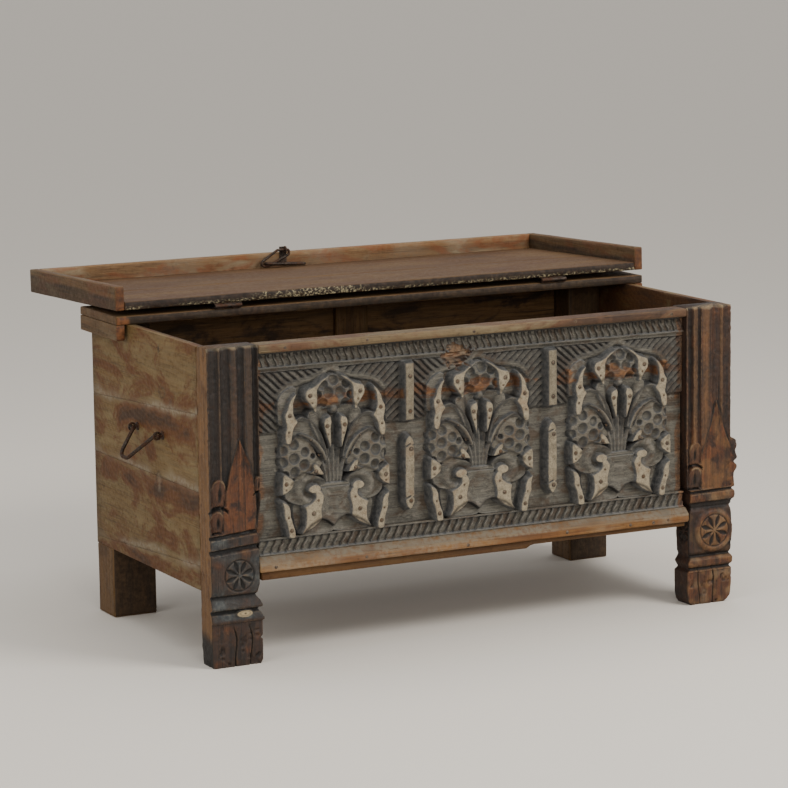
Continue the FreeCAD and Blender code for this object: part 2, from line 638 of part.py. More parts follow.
lid_board("lid_front_board", ("-rim_inside", "lid_rim_back", "lid_underside"),
          ("rim_inside", "lid_board_split", "strip_top"))
lid_board("lid_rear_board", ("-rim_inside", "lid_board_split", "lid_underside"),
          ("rim_inside", "lid_rear", "strip_top"))
lid_board("lid_front_rim", ("-rim_inside", "lid_front", "rim_low"),
          ("rim_inside", "lid_rim_back", "strip_top"))
lid_board("lid_left_rim", ("-top_end", "lid_front", "rim_low"),
          ("-rim_inside", "lid_rear", "strip_top"))
lid_board("lid_right_rim", ("rim_inside", "lid_front", "rim_low"),
          ("top_end", "lid_rear", "strip_top"))


def knuckle(start, length):
    """A piece of hinge barrel with its bore."""
    foot = Vector(start, SIZE["hinge_line"], SIZE["hinge_height"])
    along = Vector(1, 0, 0)
    barrel = Part.makeCylinder(SIZE["knuckle_radius"], length, foot, along)
    return barrel, Part.makeCylinder(SIZE["pin_radius"] + SIZE["pin_clearance"], length, foot, along)


def hinge(name, centre):
    """A butt hinge laid on the strip and on the lid, with the barrel over the joint."""
    start = centre - SIZE["hinge_length"] / 2
    third = SIZE["knuckle_length"]
    line = SIZE["hinge_line"]
    top = SIZE["strip_top"]
    plate = SIZE["hinge_plate"]
    clear = SIZE["knuckle_radius"] + SIZE["seat_gap"]
    reach = SIZE["hinge_leaf"] - clear
    gap = SIZE["seat_gap"] / 2
    strip_parts = [Part.makeBox(SIZE["hinge_length"], reach, plate, Vector(start, line + clear, top))]
    strip_bores = []
    for place in (start, start + 2 * third):
        barrel, bore = knuckle(place, third)
        tab = Part.makeBox(third, clear, plate, Vector(place, line, top))
        strip_parts += [barrel, tab]
        strip_bores.append(bore)
    middle = start + third + gap
    barrel, bore = knuckle(middle, third - 2 * gap)
    tab = Part.makeBox(third - 2 * gap, clear, plate, Vector(middle, line - clear, top))
    leaf = Part.makeBox(SIZE["hinge_length"], reach, plate,
                        Vector(start, line - SIZE["hinge_leaf"], top))
    shaped(name + "_hinge_strip_leaf", joined(strip_parts).cut(strip_bores))
    turned_open(shaped(name + "_hinge_lid_leaf", joined([leaf, tab, barrel]).cut(bore)))
    pin = doc.addObject("Part::Cylinder", name + "_hinge_pin")
    pin.setExpression("Radius", bound("pin_radius"))
    pin.setExpression("Height", bound("hinge_length"))
    pin.setExpression("Placement.Base.x", bound(name + "_hinge_place - hinge_length / 2"))
    pin.setExpression("Placement.Base.y", bound("hinge_line"))
    pin.setExpression("Placement.Base.z", bound("hinge_height"))
    pin.Placement.Rotation = Rotation(Vector(0, 1, 0), 90)


hinge("left", SIZE["left_hinge_place"])
hinge("right", SIZE["right_hinge_place"])


# Bent rods: straight runs joined by tangent arcs.

def bent_path(corners, radii, closed):
    """A wire through corners, each inner corner rounded by its radius."""
    count = len(corners)
    tangents = []
    for index, corner in enumerate(corners):
        if not closed and index in (0, count - 1):
            tangents.append((corner, None, corner))
            continue
        before = (corners[index - 1] - corner).normalize()
        after = (corners[(index + 1) % count] - corner).normalize()
        half = before.getAngle(after) / 2
        setback = radii[index] / math.tan(half)
        bisector = (before + after).normalize()
        middle = corner + bisector * (radii[index] / math.sin(half) - radii[index])
        tangents.append((corner + before * setback, middle, corner + after * setback))
    edges = []
    for index, (entry, middle, leave) in enumerate(tangents):
        if middle is not None:
            edges.append(Part.Arc(entry, middle, leave).toShape())
        if closed or index < count - 1:
            edges.append(Part.LineSegment(leave, tangents[(index + 1) % count][0]).toShape())
    return Part.Wire(edges)


def rod_along(path, start, heading, radius):
    """A round rod along a wire that starts at a place with a heading."""
    ring = Part.Wire(Part.Circle(start, heading, radius).toShape())
    return path.makePipeShell([ring], True, False)


def eye(centre, axis, rod):
    """A ring round a rod of a given radius."""
    return Part.makeTorus(rod + SIZE["eye_clearance"] + SIZE["eye_rod"], SIZE["eye_rod"], centre,
                          axis)


# Side handles: a bail hung in two eyes on washers.

HANDLE_BEND_SHARES = [0, 2, 5, 5, 1.6, 0]


def bail(label, side):
    """A handle bail, swung out from plumb about its pivot line."""
    pivot_x = side * (SIZE["half_width"] + SIZE["handle_standoff"])
    front = SIZE["front_face"] + SIZE["handle_front"]
    rear = SIZE["front_face"] + SIZE["handle_rear"]
    tail = SIZE["handle_tail"]
    foot = SIZE["handle_height"] - SIZE["handle_drop"] + SIZE["handle_rod"]
    level = SIZE["handle_height"]
    rear_bend = rear - tail
    lower_rear = rear_bend - 1.5 * SIZE["handle_rod"]
    lower_front = lower_rear - SIZE["handle_lower_run"]
    corners = [Vector(pivot_x, front - tail, level), Vector(pivot_x, front + tail, level),
               Vector(pivot_x, lower_front, foot), Vector(pivot_x, lower_rear, foot),
               Vector(pivot_x, rear_bend, level), Vector(pivot_x, rear + tail, level)]
    radii = [share * SIZE["handle_rod"] for share in HANDLE_BEND_SHARES]
    path = bent_path(corners, radii, False)
    rod = rod_along(path, corners[0], Vector(0, 1, 0), SIZE["handle_rod"])
    rod.rotate(corners[0], Vector(0, 1, 0), -side * SIZE["handle_lean"])
    return shaped(label, rod)


def handle_eyes(label, side):
    """The two eyes of a handle, each with its stem and washer."""
    face = side * SIZE["half_width"]
    solids = []
    for depth in (SIZE["handle_front"], SIZE["handle_rear"]):
        place = SIZE["front_face"] + depth
        outwards = Vector(side, 0, 0)
        foot = Vector(face, place, SIZE["handle_height"])
        washer = Part.makeCylinder(SIZE["washer_radius"], SIZE["washer_thickness"], foot, outwards)
        ring_reach = SIZE["handle_rod"] + SIZE["eye_clearance"] + SIZE["eye_rod"]
        stem = Part.makeCylinder(SIZE["eye_rod"], SIZE["handle_standoff"] - ring_reach, foot,
                                 outwards)
        centre = foot + outwards * SIZE["handle_standoff"]
        ring = eye(centre, Vector(0, 1, 0), SIZE["handle_rod"])
        solids.append(joined([washer, stem, ring]))
    return shaped(label, Part.makeCompound(solids))


for name, side in (("left", -1), ("right", 1)):
    bail(name + "_handle_bail", side)
    handle_eyes(name + "_handle_eyes", side)


# Hasp in the middle of the lid: an eye on a plate, a bent link and a long flat link. Heights are
# measured down from the underside of the closed lid's boards.

# Corners of the first link as shares of the hinge bar's height: along the lid from the eye, and
# up from the boards, with the bend at each as a share of the rod.
FIRST_LINK_SHARES = [(-.5, 1, 2), (.24, 1, 1.35), (.24, .71, 1.35), (-1.08, .092, 3.3),
                     (-1.45, .092, 1.7), (-1.58, .316, 1.7)]


def hasp_eye():
    """Plate on the inner face of the front rim with the eye that holds the first link."""
    line = SIZE["hasp_line"]
    centre = Vector(SIZE["hasp_place"], line, SIZE["hasp_bar_line"])
    half = SIZE["hasp_plate_width"] / 2
    plate = Part.makeBox(SIZE["hasp_plate_width"], SIZE["hasp_plate_thickness"],
                         SIZE["hasp_plate_drop"] + SIZE["hasp_plate_rise"],
                         Vector(centre.x - half, SIZE["lid_rim_back"],
                                SIZE["rim_low"] - SIZE["hasp_plate_rise"]))
    reach = SIZE["link_rod"] + SIZE["eye_clearance"] + SIZE["eye_rod"]
    stem = Part.makeCylinder(SIZE["eye_rod"], SIZE["hasp_standoff"] - reach,
                             Vector(centre.x, SIZE["lid_rim_back"], centre.z), Vector(0, 1, 0))
    ring = eye(centre, Vector(1, 0, 0), SIZE["link_rod"])
    return turned_open(shaped("hasp_eye_plate", joined([plate, stem, ring])))


def first_link():
    """The bent link that hangs in the eye and leans to the left."""
    unit = SIZE["hasp_bar_height"]
    base = SIZE["lid_underside"] - SIZE["hasp_lift"]
    line = SIZE["hasp_line"]
    corners = []
    for across, up, bend in FIRST_LINK_SHARES:
        height = up * (unit - SIZE["hasp_lift"])
        corners.append(Vector(SIZE["hasp_place"] + across * unit, line, base - height))
    radii = [bend * SIZE["link_rod"] for across, up, bend in FIRST_LINK_SHARES]
    path = bent_path(corners, radii, True)
    # The rod is swept from the middle of the hinge bar, so the wire starts there.
    start = (corners[0] + corners[1]) / 2
    heading = (corners[1] - corners[0]).normalize()
    ring = Part.Wire(Part.Circle(start, heading, SIZE["link_rod"]).toShape())
    point = Part.Vertex(start)
    bar = min(path.Edges, key=lambda edge: edge.distToShape(point)[0])
    ends = sorted((vertex.Point for vertex in bar.Vertexes),
                  key=lambda place: (place - start).dot(heading))
    halves = [Part.LineSegment(start, ends[1]).toShape(),
              Part.LineSegment(ends[0], start).toShape()]
    rest = [edge for edge in path.Edges if not edge.isSame(bar)]
    ordered = Part.Wire(Part.__sortEdges__([halves[0]] + rest + [halves[1]]))
    return turned_open(shaped("hasp_loop", ordered.makePipeShell([ring], True, False)))


def second_link():
    """The long flat link that lies along the foot of the rim."""
    rod = SIZE["link_rod"]
    half = SIZE["link_half_width"]
    straight = SIZE["link_length"] - 2 * half
    line = SIZE["hasp_line"]
    held = Vector(SIZE["hasp_place"] - SIZE["link_hold"], line,
                  SIZE["lid_underside"] - SIZE["link_lift"])
    near = held + Vector(half, 0, 0)
    far = near + Vector(straight, 0, 0)
    offset = Vector(0, half, 0)
    solids = []
    for side in (-1, 1):
        solids.append(Part.makeCylinder(rod, straight, near + offset * side, Vector(1, 0, 0)))
    for centre, first_angle in ((near, 90), (far, -90)):
        bend = Part.makeTorus(half, rod, centre, Vector(0, 0, 1))
        turn = 1 if first_angle < 0 else -1
        room = Part.makeBox(2 * half, 4 * half, 4 * half,
                            centre + Vector(-half + turn * half, -2 * half, -2 * half))
        solids.append(bend.common(room))
    link = joined(solids)
    drop = SIZE["link_lift"] - SIZE["link_tip_lift"]
    link.rotate(held, Vector(0, 1, 0), -math.degrees(math.atan2(drop, SIZE["link_length"])))
    return turned_open(shaped("hasp_bar", link))


hasp_eye()
first_link()
second_link()


# Check every object, then write each piece to its own file.

doc.recompute()
for item in doc.Objects:
    for mark in ("Invalid", "Error"):
        if mark in item.State:
            raise RuntimeError("%s is %s" % (item.Label, item.State))

PIECES = [item for item in doc.Objects
          if item.TypeId in ("Part::Box", "Part::Cylinder", "Part::Feature", "PartDesign::Body")]
for piece in PIECES:
    if piece.Shape.isNull() or not piece.Shape.isValid():
        raise RuntimeError("%s has no valid shape" % piece.Label)
    piece.Shape.exportStep("parts/%s.step" % piece.Label)
print("%d pieces written" % len(PIECES))
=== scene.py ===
import math

import bpy
import numpy as np
from mathutils import Matrix, Vector


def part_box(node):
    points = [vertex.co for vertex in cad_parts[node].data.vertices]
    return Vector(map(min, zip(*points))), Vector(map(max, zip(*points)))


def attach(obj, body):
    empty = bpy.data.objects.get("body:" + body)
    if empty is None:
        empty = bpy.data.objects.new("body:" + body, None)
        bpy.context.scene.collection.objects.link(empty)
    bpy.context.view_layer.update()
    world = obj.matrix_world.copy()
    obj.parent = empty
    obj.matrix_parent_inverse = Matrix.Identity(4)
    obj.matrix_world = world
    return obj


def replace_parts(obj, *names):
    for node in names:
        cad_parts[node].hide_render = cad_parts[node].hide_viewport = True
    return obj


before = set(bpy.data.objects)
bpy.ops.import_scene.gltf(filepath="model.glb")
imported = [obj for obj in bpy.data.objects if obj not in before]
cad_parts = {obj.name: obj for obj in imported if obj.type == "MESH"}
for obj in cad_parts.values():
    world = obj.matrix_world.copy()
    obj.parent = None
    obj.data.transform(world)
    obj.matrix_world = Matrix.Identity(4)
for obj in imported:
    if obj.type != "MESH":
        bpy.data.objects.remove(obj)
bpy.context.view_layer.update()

MM = 0.001

# Lengths are in millimetres until a mesh is made. "back" is a depth behind the post faces.
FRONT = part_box("front_top_rail")[0][1] / MM
PIN_LOW, PIN_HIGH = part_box("left_hinge_pin")
HINGE_Y = (PIN_LOW[1] + PIN_HIGH[1]) / 2 / MM
HINGE_Z = (PIN_LOW[2] + PIN_HIGH[2]) / 2 / MM
OPEN_ANGLE = math.radians(-181.8)
HALF_WIDTH, DEPTH, TOP = 600, 600, 635
POST_WIDTH, POST_DEPTH, POST_INSIDE = 110, 57, 490
WALL_INSIDE, BACK_INSIDE = 582, 582
LEG_INSIDE, LEG_FRONT, LEG_TOP = 503, 514, 148
BEARER_LOW, FLOOR_LOW, FLOOR_TOP, REAR_FLOOR = 165, 182, 200, 407
PANEL_GROUND, PANEL_BACK, RAIL_LOW, SILL_TOP, BEVEL = 28, 48, 618, 212, 14
LID_HALF, RIM_INSIDE, STRIP_FRONT = 625, 605, 400
LID_FRONT, RIM_BACK, LID_END = -92, -72, 396
RIM_LOW, LID_LOW, LID_TOP = 603, 635.3, 653


def y_of(back):
    return FRONT + back


# Chance and noise, the same on every run.

def wander(points, size, seed=0):
    """Smooth noise between -1 and 1 at the points, with hills about one size across."""
    spot = np.asarray(points, dtype=np.float64) / size + seed * 17.31
    cell = np.floor(spot)
    part = spot - cell
    part = part * part * (3 - 2 * part)
    cell = cell.astype(np.int64)
    total = np.zeros(len(spot))
    for corner in range(8):
        step = np.array([corner & 1, corner >> 1 & 1, corner >> 2 & 1])
        key = cell + step
        mixed = (key[:, 0] * 73856093) ^ (key[:, 1] * 19349663) ^ (key[:, 2] * 83492791)
        mixed = (mixed ^ (mixed >> 13)) * 1274126177 & 0x7FFFFFFF
        value = (mixed ^ (mixed >> 11)) % 65536 / 32767.5 - 1
        weight = np.ones(len(spot))
        for axis in range(3):
            weight *= part[:, axis] if step[axis] else 1 - part[:, axis]
        total += value * weight
    return total


def ease(value):
    """From 0 to 1 with a soft start and end."""
    value = np.clip(value, 0, 1)
    return value * value * (3 - 2 * value)


def bell(value, width):
    """1 where the value is 0, falling off over a width on both sides."""
    return np.exp(-(value / width) ** 2)


def read_off(value, pairs, **ends):
    """Height of a line through pairs of place and height."""
    return np.interp(value, *np.array(pairs).T, **ends)


def noise_on(x, z, place, size, seed):
    """Noise over a face: two fields, and a place along the third axis."""
    spots = np.stack((x.ravel(), z.ravel(), np.full(x.size, float(place))), axis=1)
    return wander(spots, size, seed).reshape(x.shape)


# Meshes.

def placed(name, data):
    """A new object in the scene."""
    thing = bpy.data.objects.new(name, data)
    bpy.context.scene.collection.objects.link(thing)
    return thing


def carry(mesh, key, values, count):
    """Store a value at each point of a mesh."""
    layer = mesh.attributes.new(key, "FLOAT", "POINT")
    layer.data.foreach_set("value", np.broadcast_to(values, count).astype(np.float32))


def make_object(name, points, faces, material, body, attributes=None, smooth=True):
    """An object of points in millimetres that rides on a body."""
    mesh = bpy.data.meshes.new(name)
    mesh.from_pydata((np.asarray(points) * MM).tolist(), [], faces)
    for key, values in (attributes or {}).items():
        carry(mesh, key, values, len(points))
    if smooth:
        mesh.polygons.foreach_set("use_smooth", [True] * len(mesh.polygons))
    mesh.materials.append(material)
    mesh.validate()
    thing = placed(name, mesh)
    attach(thing, body)
    return thing


def grid_quads(index):
    """Faces of a sheet of points."""
    return np.stack((index[:-1, :-1], index[1:, :-1], index[1:, 1:], index[:-1, 1:]),
                    axis=-1).reshape(-1, 4)


def ring_quads(index):
    """Faces between rings of points."""
    after = np.roll(index, -1, axis=1)
    return np.stack((index[:-1], after[:-1], after[1:], index[1:]), axis=-1).reshape(-1, 4)


def unit(rows):
    """Rows of numbers, each made one long."""
    return rows / np.linalg.norm(rows, axis=1)[:, None]


def opened(points):
    """Points of the closed lid, turned to where the lid lies open."""
    points = np.array(points, dtype=np.float64)
    across = points[:, 1] - HINGE_Y
    up = points[:, 2] - HINGE_Z
    turned = points.copy()
    turned[:, 1] = HINGE_Y + across * math.cos(OPEN_ANGLE) - up * math.sin(OPEN_ANGLE)
    turned[:, 2] = HINGE_Z + across * math.sin(OPEN_ANGLE) + up * math.cos(OPEN_ANGLE)
    return turned


# Finishes.

def colour(code):
    """A colour from its six-digit code, made linear for the shader."""
    parts = [int(code[i:i + 2], 16) / 255 for i in (1, 3, 5)]
    return [p / 12.92 if p <= .04045 else ((p + .055) / 1.055) ** 2.4 for p in parts] + [1.0]


class Graph:
    """A node tree, built node by node."""

    def __init__(self, tree):
        self.nodes, self.links = tree.nodes, tree.links

    def add(self, kind, inputs=None, **settings):
        """A new node; its inputs are values or sockets of other nodes."""
        node = self.nodes.new(kind)
        for key, value in settings.items():
            setattr(node, key, value)
        for key, value in (inputs or {}).items():
            self.join(value, node.inputs[key])
        return node

    def join(self, value, socket):
        if isinstance(value, bpy.types.NodeSocket):
            self.links.new(value, socket)
        else:
            socket.default_value = value


class Finish(Graph):
    """A surface finish."""

    def __init__(self, name, roughness, metallic=0.0, specular=.35):
        self.material = bpy.data.materials.new(name)
        self.material.use_nodes = True
        super().__init__(self.material.node_tree)
        self.nodes.clear()
        self.shader = self.add("BsdfPrincipled", {"Metallic": metallic, "Roughness": roughness,
                                                  "Specular IOR Level": specular})
        self.add("OutputMaterial", {0: self.shader.outputs[0]})
        self.place = self.add("TexCoord").outputs["Object"]
        self.piece = self.layer("piece")

    def add(self, kind, inputs=None, **settings):
        return super().add("ShaderNode" + kind, inputs, **settings)

    def layer(self, name):
        """A value that the mesh carries."""
        return self.add("Attribute", attribute_name=name).outputs["Fac"]

    def maths(self, operation, one, two):
        return self.add("Math", {0: one, 1: two}, operation=operation).outputs[0]

    def times(self, one, two):
        return self.maths("MULTIPLY", one, two)

    def between(self, value, low, high, first=0.0, last=1.0):
        """The value stretched from low..high to first..last."""
        node = self.add("MapRange", {"Value": value, "From Min": low, "From Max": high,
                                     "To Min": first, "To Max": last})
        return node.outputs[0]

    def patchy(self, name, *spread):
        """A value that the mesh carries, broken up by a noise stretched as in between."""
        return self.times(self.layer(name), self.between(*spread))

    def mix(self, share, one, two):
        """One colour over another. A colour is a socket or a six-digit code."""
        one, two = [colour(c) if isinstance(c, str) else c for c in (one, two)]
        return self.add("Mix", {0: share, 6: one, 7: two}, data_type="RGBA").outputs[2]

    def coats(self, tone, *coats):
        """Colours laid over a tone, each where a value is between low and high."""
        for value, low, high, share, code in coats:
            tone = self.mix(self.between(value, low, high, 0, share), tone, code)
        return tone

    def noise(self, sizes, detail=4.0, seed=0.0, rough=.6, swirl=0.0):
        """Noise whose spots are as large as the three sizes in millimetres."""
        scale = [1 / (size * MM) for size in sizes]
        offset = self.add("CombineXYZ", {0: self.piece, 1: self.piece, 2: seed}).outputs[0]
        spot = self.add("VectorMath", {0: self.place, 1: offset}, operation="ADD").outputs[0]
        spot = self.add("VectorMath", {0: spot, 1: scale}, operation="MULTIPLY").outputs[0]
        return self.add("TexNoise", {"Vector": spot, "Scale": 1.0, "Detail": detail,
                                     "Roughness": rough, "Distortion": swirl}).outputs["Fac"]

    def grain(self, axis, along, across, *rest):
        """Noise drawn out along an axis."""
        sizes = [across, across, across]
        sizes[axis] = along
        return self.noise(sizes, *rest)

    def arcs(self):
        """Wide arcs that a round saw left."""
        spot = self.add("VectorMath", {0: self.place, 1: (0, .25, -.95)}, operation="ADD")
        return self.add("TexWave", {"Vector": spot.outputs[0], "Scale": 27.0, "Distortion": 9.0,
                                    "Detail": 4.0, "Detail Scale": .35, "Detail Roughness": .65},
                        wave_type="RINGS", rings_direction="X").outputs["Fac"]

    def surface(self, tone, height, distance, strength, roughness):
        """Give the shader its colour, bump and roughness."""
        bump = self.add("Bump", {"Height": height, "Distance": distance * MM,
                                 "Strength": strength})
        for value, socket in ((tone, "Base Color"), (bump.outputs[0], "Normal"),
                              (roughness, "Roughness")):
            self.join(value, self.shader.inputs[socket])
        return self.material


def aged_wood(name, axis, palette, stain_share, pale_share, swirl, figure, patch, sawn=0.0):
    """Old hand-sawn wood: fibres, bands, cracks and stains; paler where hands wore it."""
    dark, middle, light, stain, pale, worn, grime = palette.split()
    f = Finish(name, roughness=.68)
    fibre = f.grain(axis, 60, 1.2, 5.0)
    band = f.grain(axis, figure * 34, figure, 5.0, 3.1, .6, swirl)
    crack = f.grain(axis, 420, 1.9, 2.0, 7.7)
    rust = f.grain(axis, patch * 1.5, patch * .75, 7.0, 1.3, .62, .9)
    rust = f.maths("ADD", rust, f.times(f.layer("stain"), .16))
    bleach = f.grain(axis, patch * 2.4, patch * .6, 6.0, 2.3, .6, .8)
    speck = f.noise((9, 9, 9), 6.0, 5.5, .65)
    tone = f.coats(dark, (band, .36, .62, 1, middle), (fibre, .4, .75, .75, light),
                   (bleach, .48, .64, pale_share, pale), (rust, .49, .59, stain_share, stain),
                   (rust, .62, .74, stain_share * .7, grime), (speck, .58, .72, .45, grime))
    cracks = f.between(crack, .7, .74)
    tone = f.mix(f.times(cracks, .8), tone, grime)
    saw = f.arcs()
    tone = f.mix(f.times(f.between(saw, .55, .9), sawn * .3), tone, light)
    tone = f.mix(f.times(f.between(saw, .4, .1), sawn * .3), tone, grime)
    tone = f.mix(f.patchy("filler", speck, .36, .58, .1, 1.0), tone, "#857a68")
    rubbed = f.patchy("wear", speck, .36, .62, .05, .95)
    tone = f.mix(f.maths("MINIMUM", rubbed, 1.0), tone, worn)
    tone = f.mix(f.layer("end"), tone, f.coats("#42240f", (speck, .38, .62, 1, "#6c4324")))
    # Darkening that the mesh carries in its hollow layer: dirt and dark edges, and painted shade
    # inside and under the chest.
    darkened = f.patchy("hollow", speck, .3, .55, .6, 1.0)
    tone = f.mix(f.maths("MINIMUM", darkened, .95), tone, grime)
    flake = f.noise((5, 5, 4), 5.0, 8.8, .65)
    tone = f.mix(f.patchy("cream", flake, .5, .58), tone, "#aea27f")
    height = f.maths("ADD", fibre, f.times(band, .8))
    height = f.maths("SUBTRACT", height, f.times(cracks, .8))
    height = f.maths("ADD", height, f.times(saw, sawn * .8))
    return f.surface(tone, height, 1.0, .6, f.between(speck, .3, .7, .55, .82))


# Grain axis; dark, middle, light, stain, pale, worn and grime; shares of stain and of pale
# patches, swirl, width of the figure, size of the patches, and saw marks.
SIDE = aged_wood("aged_side_wood", 1, "#4b381c #634b29 #7a633b #56310f #7b6c4a #86704b #22160c",
                 .95, .5, 1.8, 17, 95, .22)
RAIL = aged_wood("aged_rail_wood", 0, "#433625 #64543b #7f6d4f #55331d #7f745a #7d6548 #1d1510",
                 .8, .5, .3, 8, 90)
SILL = aged_wood("aged_sill_wood", 0, "#4a2f14 #714c24 #8d6737 #5c351b #8b7d67 #9a7c52 #1d1510",
                 .5, .3, .3, 8, 90)
LID = aged_wood("aged_lid_wood", 0, "#38230e #4f3416 #63441f #432507 #6a5029 #71532f #1b1410",
                .6, .35, .8, 16, 150)
RIM = aged_wood("aged_rim_wood", 0, "#4c341c #735433 #8d6d47 #733f1c #8b7c62 #9a7c55 #1e150e",
                .7, .7, .4, 10, 70)
END = aged_wood("aged_rim_side_wood", 1,
                "#35250f #543c22 #6c5232 #5a3015 #6d5e45 #82613d #1a120c", .5, .45, .5, 10, 70)
STRIP = aged_wood("aged_strip_wood", 0,
                  "#35250f #543c22 #6c5232 #4a2b17 #65553f #7c5e3c #14100d", .5, .4, .4, 9, 70)
INSIDE = aged_wood("aged_inside_wood", 0,
                   "#36230f #5f4223 #80603a #2a1c11 #6a5234 #7a5c3a #120d09", .85, .3, 1.2, 9, 90)
LEG = aged_wood("aged_leg_wood", 2, "#382512 #593e21 #70522a #38230f #625034 #8a6a40 #140f0b",
                .6, .3, .4, 10, 90)


def post_wood():
    """Front posts: near-black in the flutes, warm brown on the leaf, golden where rubbed."""
    f = Finish("carved_post_wood", roughness=.6)
    fibre = f.grain(2, 60, 1.3, 5.0)
    band = f.grain(2, 300, 8, 5.0, 3.1, .6, .4)
    crack = f.grain(2, 260, 1.8, 2.0, 7.7)
    blotch = f.noise((40, 40, 60), 6.0, 1.3, .62, .8)
    other = f.noise((30, 30, 44), 6.0, 4.4, .62, .6)
    speck = f.noise((8, 8, 11), 6.0, 5.5, .65)
    tone = f.coats("#141314", (band, .38, .62, 1, "#261f1c"), (fibre, .45, .75, .65, "#3f3023"),
                   (blotch, .56, .68, .5, "#3f2616"))
    warm = f.coats("#2d1a0f", (band, .38, .62, 1, "#552f19"), (fibre, .42, .75, .7, "#744826"),
                   (other, .5, .62, .8, "#1c1412"), (blotch, .6, .7, .55, "#7d5c3b"))
    tone = f.mix(f.patchy("leaf", other, .34, .5, .55, 1.0), tone, warm)
    paint = f.coats("#22272a", (speck, .4, .62, 1, "#4a4c4a"))
    tone = f.mix(f.patchy("painted", blotch, .4, .56, 1.0, .15), tone, paint)
    gold = f.coats("#4a321b", (band, .38, .62, 1, "#69492b"), (fibre, .42, .75, .7, "#86673f"),
                   (other, .54, .66, .7, "#3d2513"))
    tone = f.mix(f.layer("golden"), tone, gold)
    tone = f.mix(f.patchy("wear", speck, .4, .64, 0, .8), tone, "#7b6143")
    tone = f.mix(f.layer("pale"), tone, "#9a8a6c")
    tone = f.coats(tone, (crack, .71, .745, .85, "#0d0a09"))
    # Near-black where the post carries painted shade, its dark knot ring and soot at its foot.
    tone = f.mix(f.maths("MINIMUM", f.layer("hollow"), .93), tone, "#0d0b0a")
    height = f.maths("ADD", fibre, f.times(speck, .7))
    height = f.maths("SUBTRACT", height, f.between(crack, .69, .745, 0, 1.2))
    return f.surface(tone, height, 1.2, .65, f.between(speck, .3, .7, .5, .78))


def panel_wood():
    """Carved front: slate-grey hollows, greige ground, beige tops, and bare orange wood."""
    f = Finish("carved_panel_wood", roughness=.74)
    fibre = f.grain(0, 50, 1.2, 5.0)
    band = f.grain(0, 240, 7, 5.0, 3.1, .6, .3)
    crack = f.grain(0, 200, 1.7, 2.0, 7.7)
    blotch = f.noise((60, 60, 44), 6.0, 1.3, .62, .8)
    pores = f.noise((1.6, 1.6, 2.6), 4.0, 9.4, .7)
    other = f.noise((26, 26, 18), 6.0, 4.4, .62, .6)
    speck = f.noise((8, 8, 8), 6.0, 5.5, .65)
    ground = f.coats("#33312d", (band, .36, .64, 1, "#57544c"), (fibre, .42, .74, .65, "#7a7569"),
                     (blotch, .5, .62, .7, "#3f2f20"), (other, .56, .68, .5, "#7a746a"))
    slate = f.coats("#3b3f42", (speck, .4, .62, 1, "#605f5e"), (other, .54, .66, .5, "#3f3a34"))
    tone = f.mix(f.times(f.layer("steep"), .85), ground, slate)
    bare = f.coats("#45260f", (fibre, .38, .7, 1, "#754a24"), (speck, .5, .66, .6, "#3a2113"),
                   (other, .5, .66, .6, "#8c6540"))
    tone = f.mix(f.patchy("bare", other, .3, .5, .3, .9), tone, bare)
    top = f.coats("#8c816c", (speck, .42, .66, 1, "#706756"), (fibre, .55, .8, .5, "#9f957d"),
                  (blotch, .54, .68, .5, "#785d43"), (other, .58, .68, .55, "#5f574c"),
                  (pores, .52, .68, .5, "#54493d"), (pores, .46, .34, .35, "#ada18c"))
    tone = f.mix(f.layer("top"), tone, top)
    tone = f.mix(f.patchy("wear", speck, .38, .6, .1, .85), tone, "#8a8277")
    tone = f.coats(tone, (pores, .54, .7, .35, "#1d1a17"), (crack, .72, .75, .7, "#16120e"))
    # Near-black where the carving carries painted shade and the dark rings round its nails.
    tone = f.mix(f.maths("MINIMUM", f.layer("hollow"), .95), tone, "#100d0b")
    height = f.maths("ADD", fibre, f.times(speck, .8))
    return f.surface(tone, height, 1.0, .6, f.between(speck, .3, .7, .6, .86))


def iron(name, dark, middle, rust):
    """Forged iron with a brown skin of rust."""
    f = Finish(name, roughness=.55, metallic=.75, specular=.5)
    speck = f.noise((4, 4, 4), 5.0, 5.5)
    blotch = f.noise((16, 16, 16), 4.0, 1.3)
    tone = f.coats(dark, (speck, .4, .62, 1, middle), (blotch, .46, .62, .8, rust))
    return f.surface(tone, speck, .5, .5, f.between(blotch, .35, .65, .45, .75))


POST, PANEL = post_wood(), panel_wood()
IRON = iron("forged_iron", "#26211e", "#4a4038", "#4d3324")
NAIL = iron("rusted_nail_iron", "#41372f", "#6e6154", "#5f4a38")


# Boards.

def lattice(low, high, radius, step):
    """Surface grid of a block with closer lines near its edges: points and faces."""
    lines = []
    for a in range(3):
        length = high[a] - low[a]
        count = max(2, int(round((length - 2 * radius) / step)) + 1)
        inner = np.linspace(radius, length - radius, count)
        lines.append(low[a] + np.concatenate(([0, radius * .35], inner,
                                              [length - radius * .35, length])))
    counts = [len(line) for line in lines]
    index = -np.ones(counts, dtype=np.int64)
    grid = np.stack(np.meshgrid(*lines, indexing="ij"), axis=-1)
    sides = [(a, tuple(end if a == b else slice(None) for b in range(3)))
             for a in range(3) for end in (0, -1)]
    outside = np.zeros(counts, dtype=bool)
    for _, side in sides:
        outside[side] = True
    index[outside] = np.arange(outside.sum())
    faces = []
    for a, side in sides:
        sheet = index[side]
        quads = grid_quads(sheet.T if a == 1 else sheet)
        faces.append(quads if side[a] == -1 else quads[:, ::-1])
    return grid[outside], np.concatenate(faces).tolist()


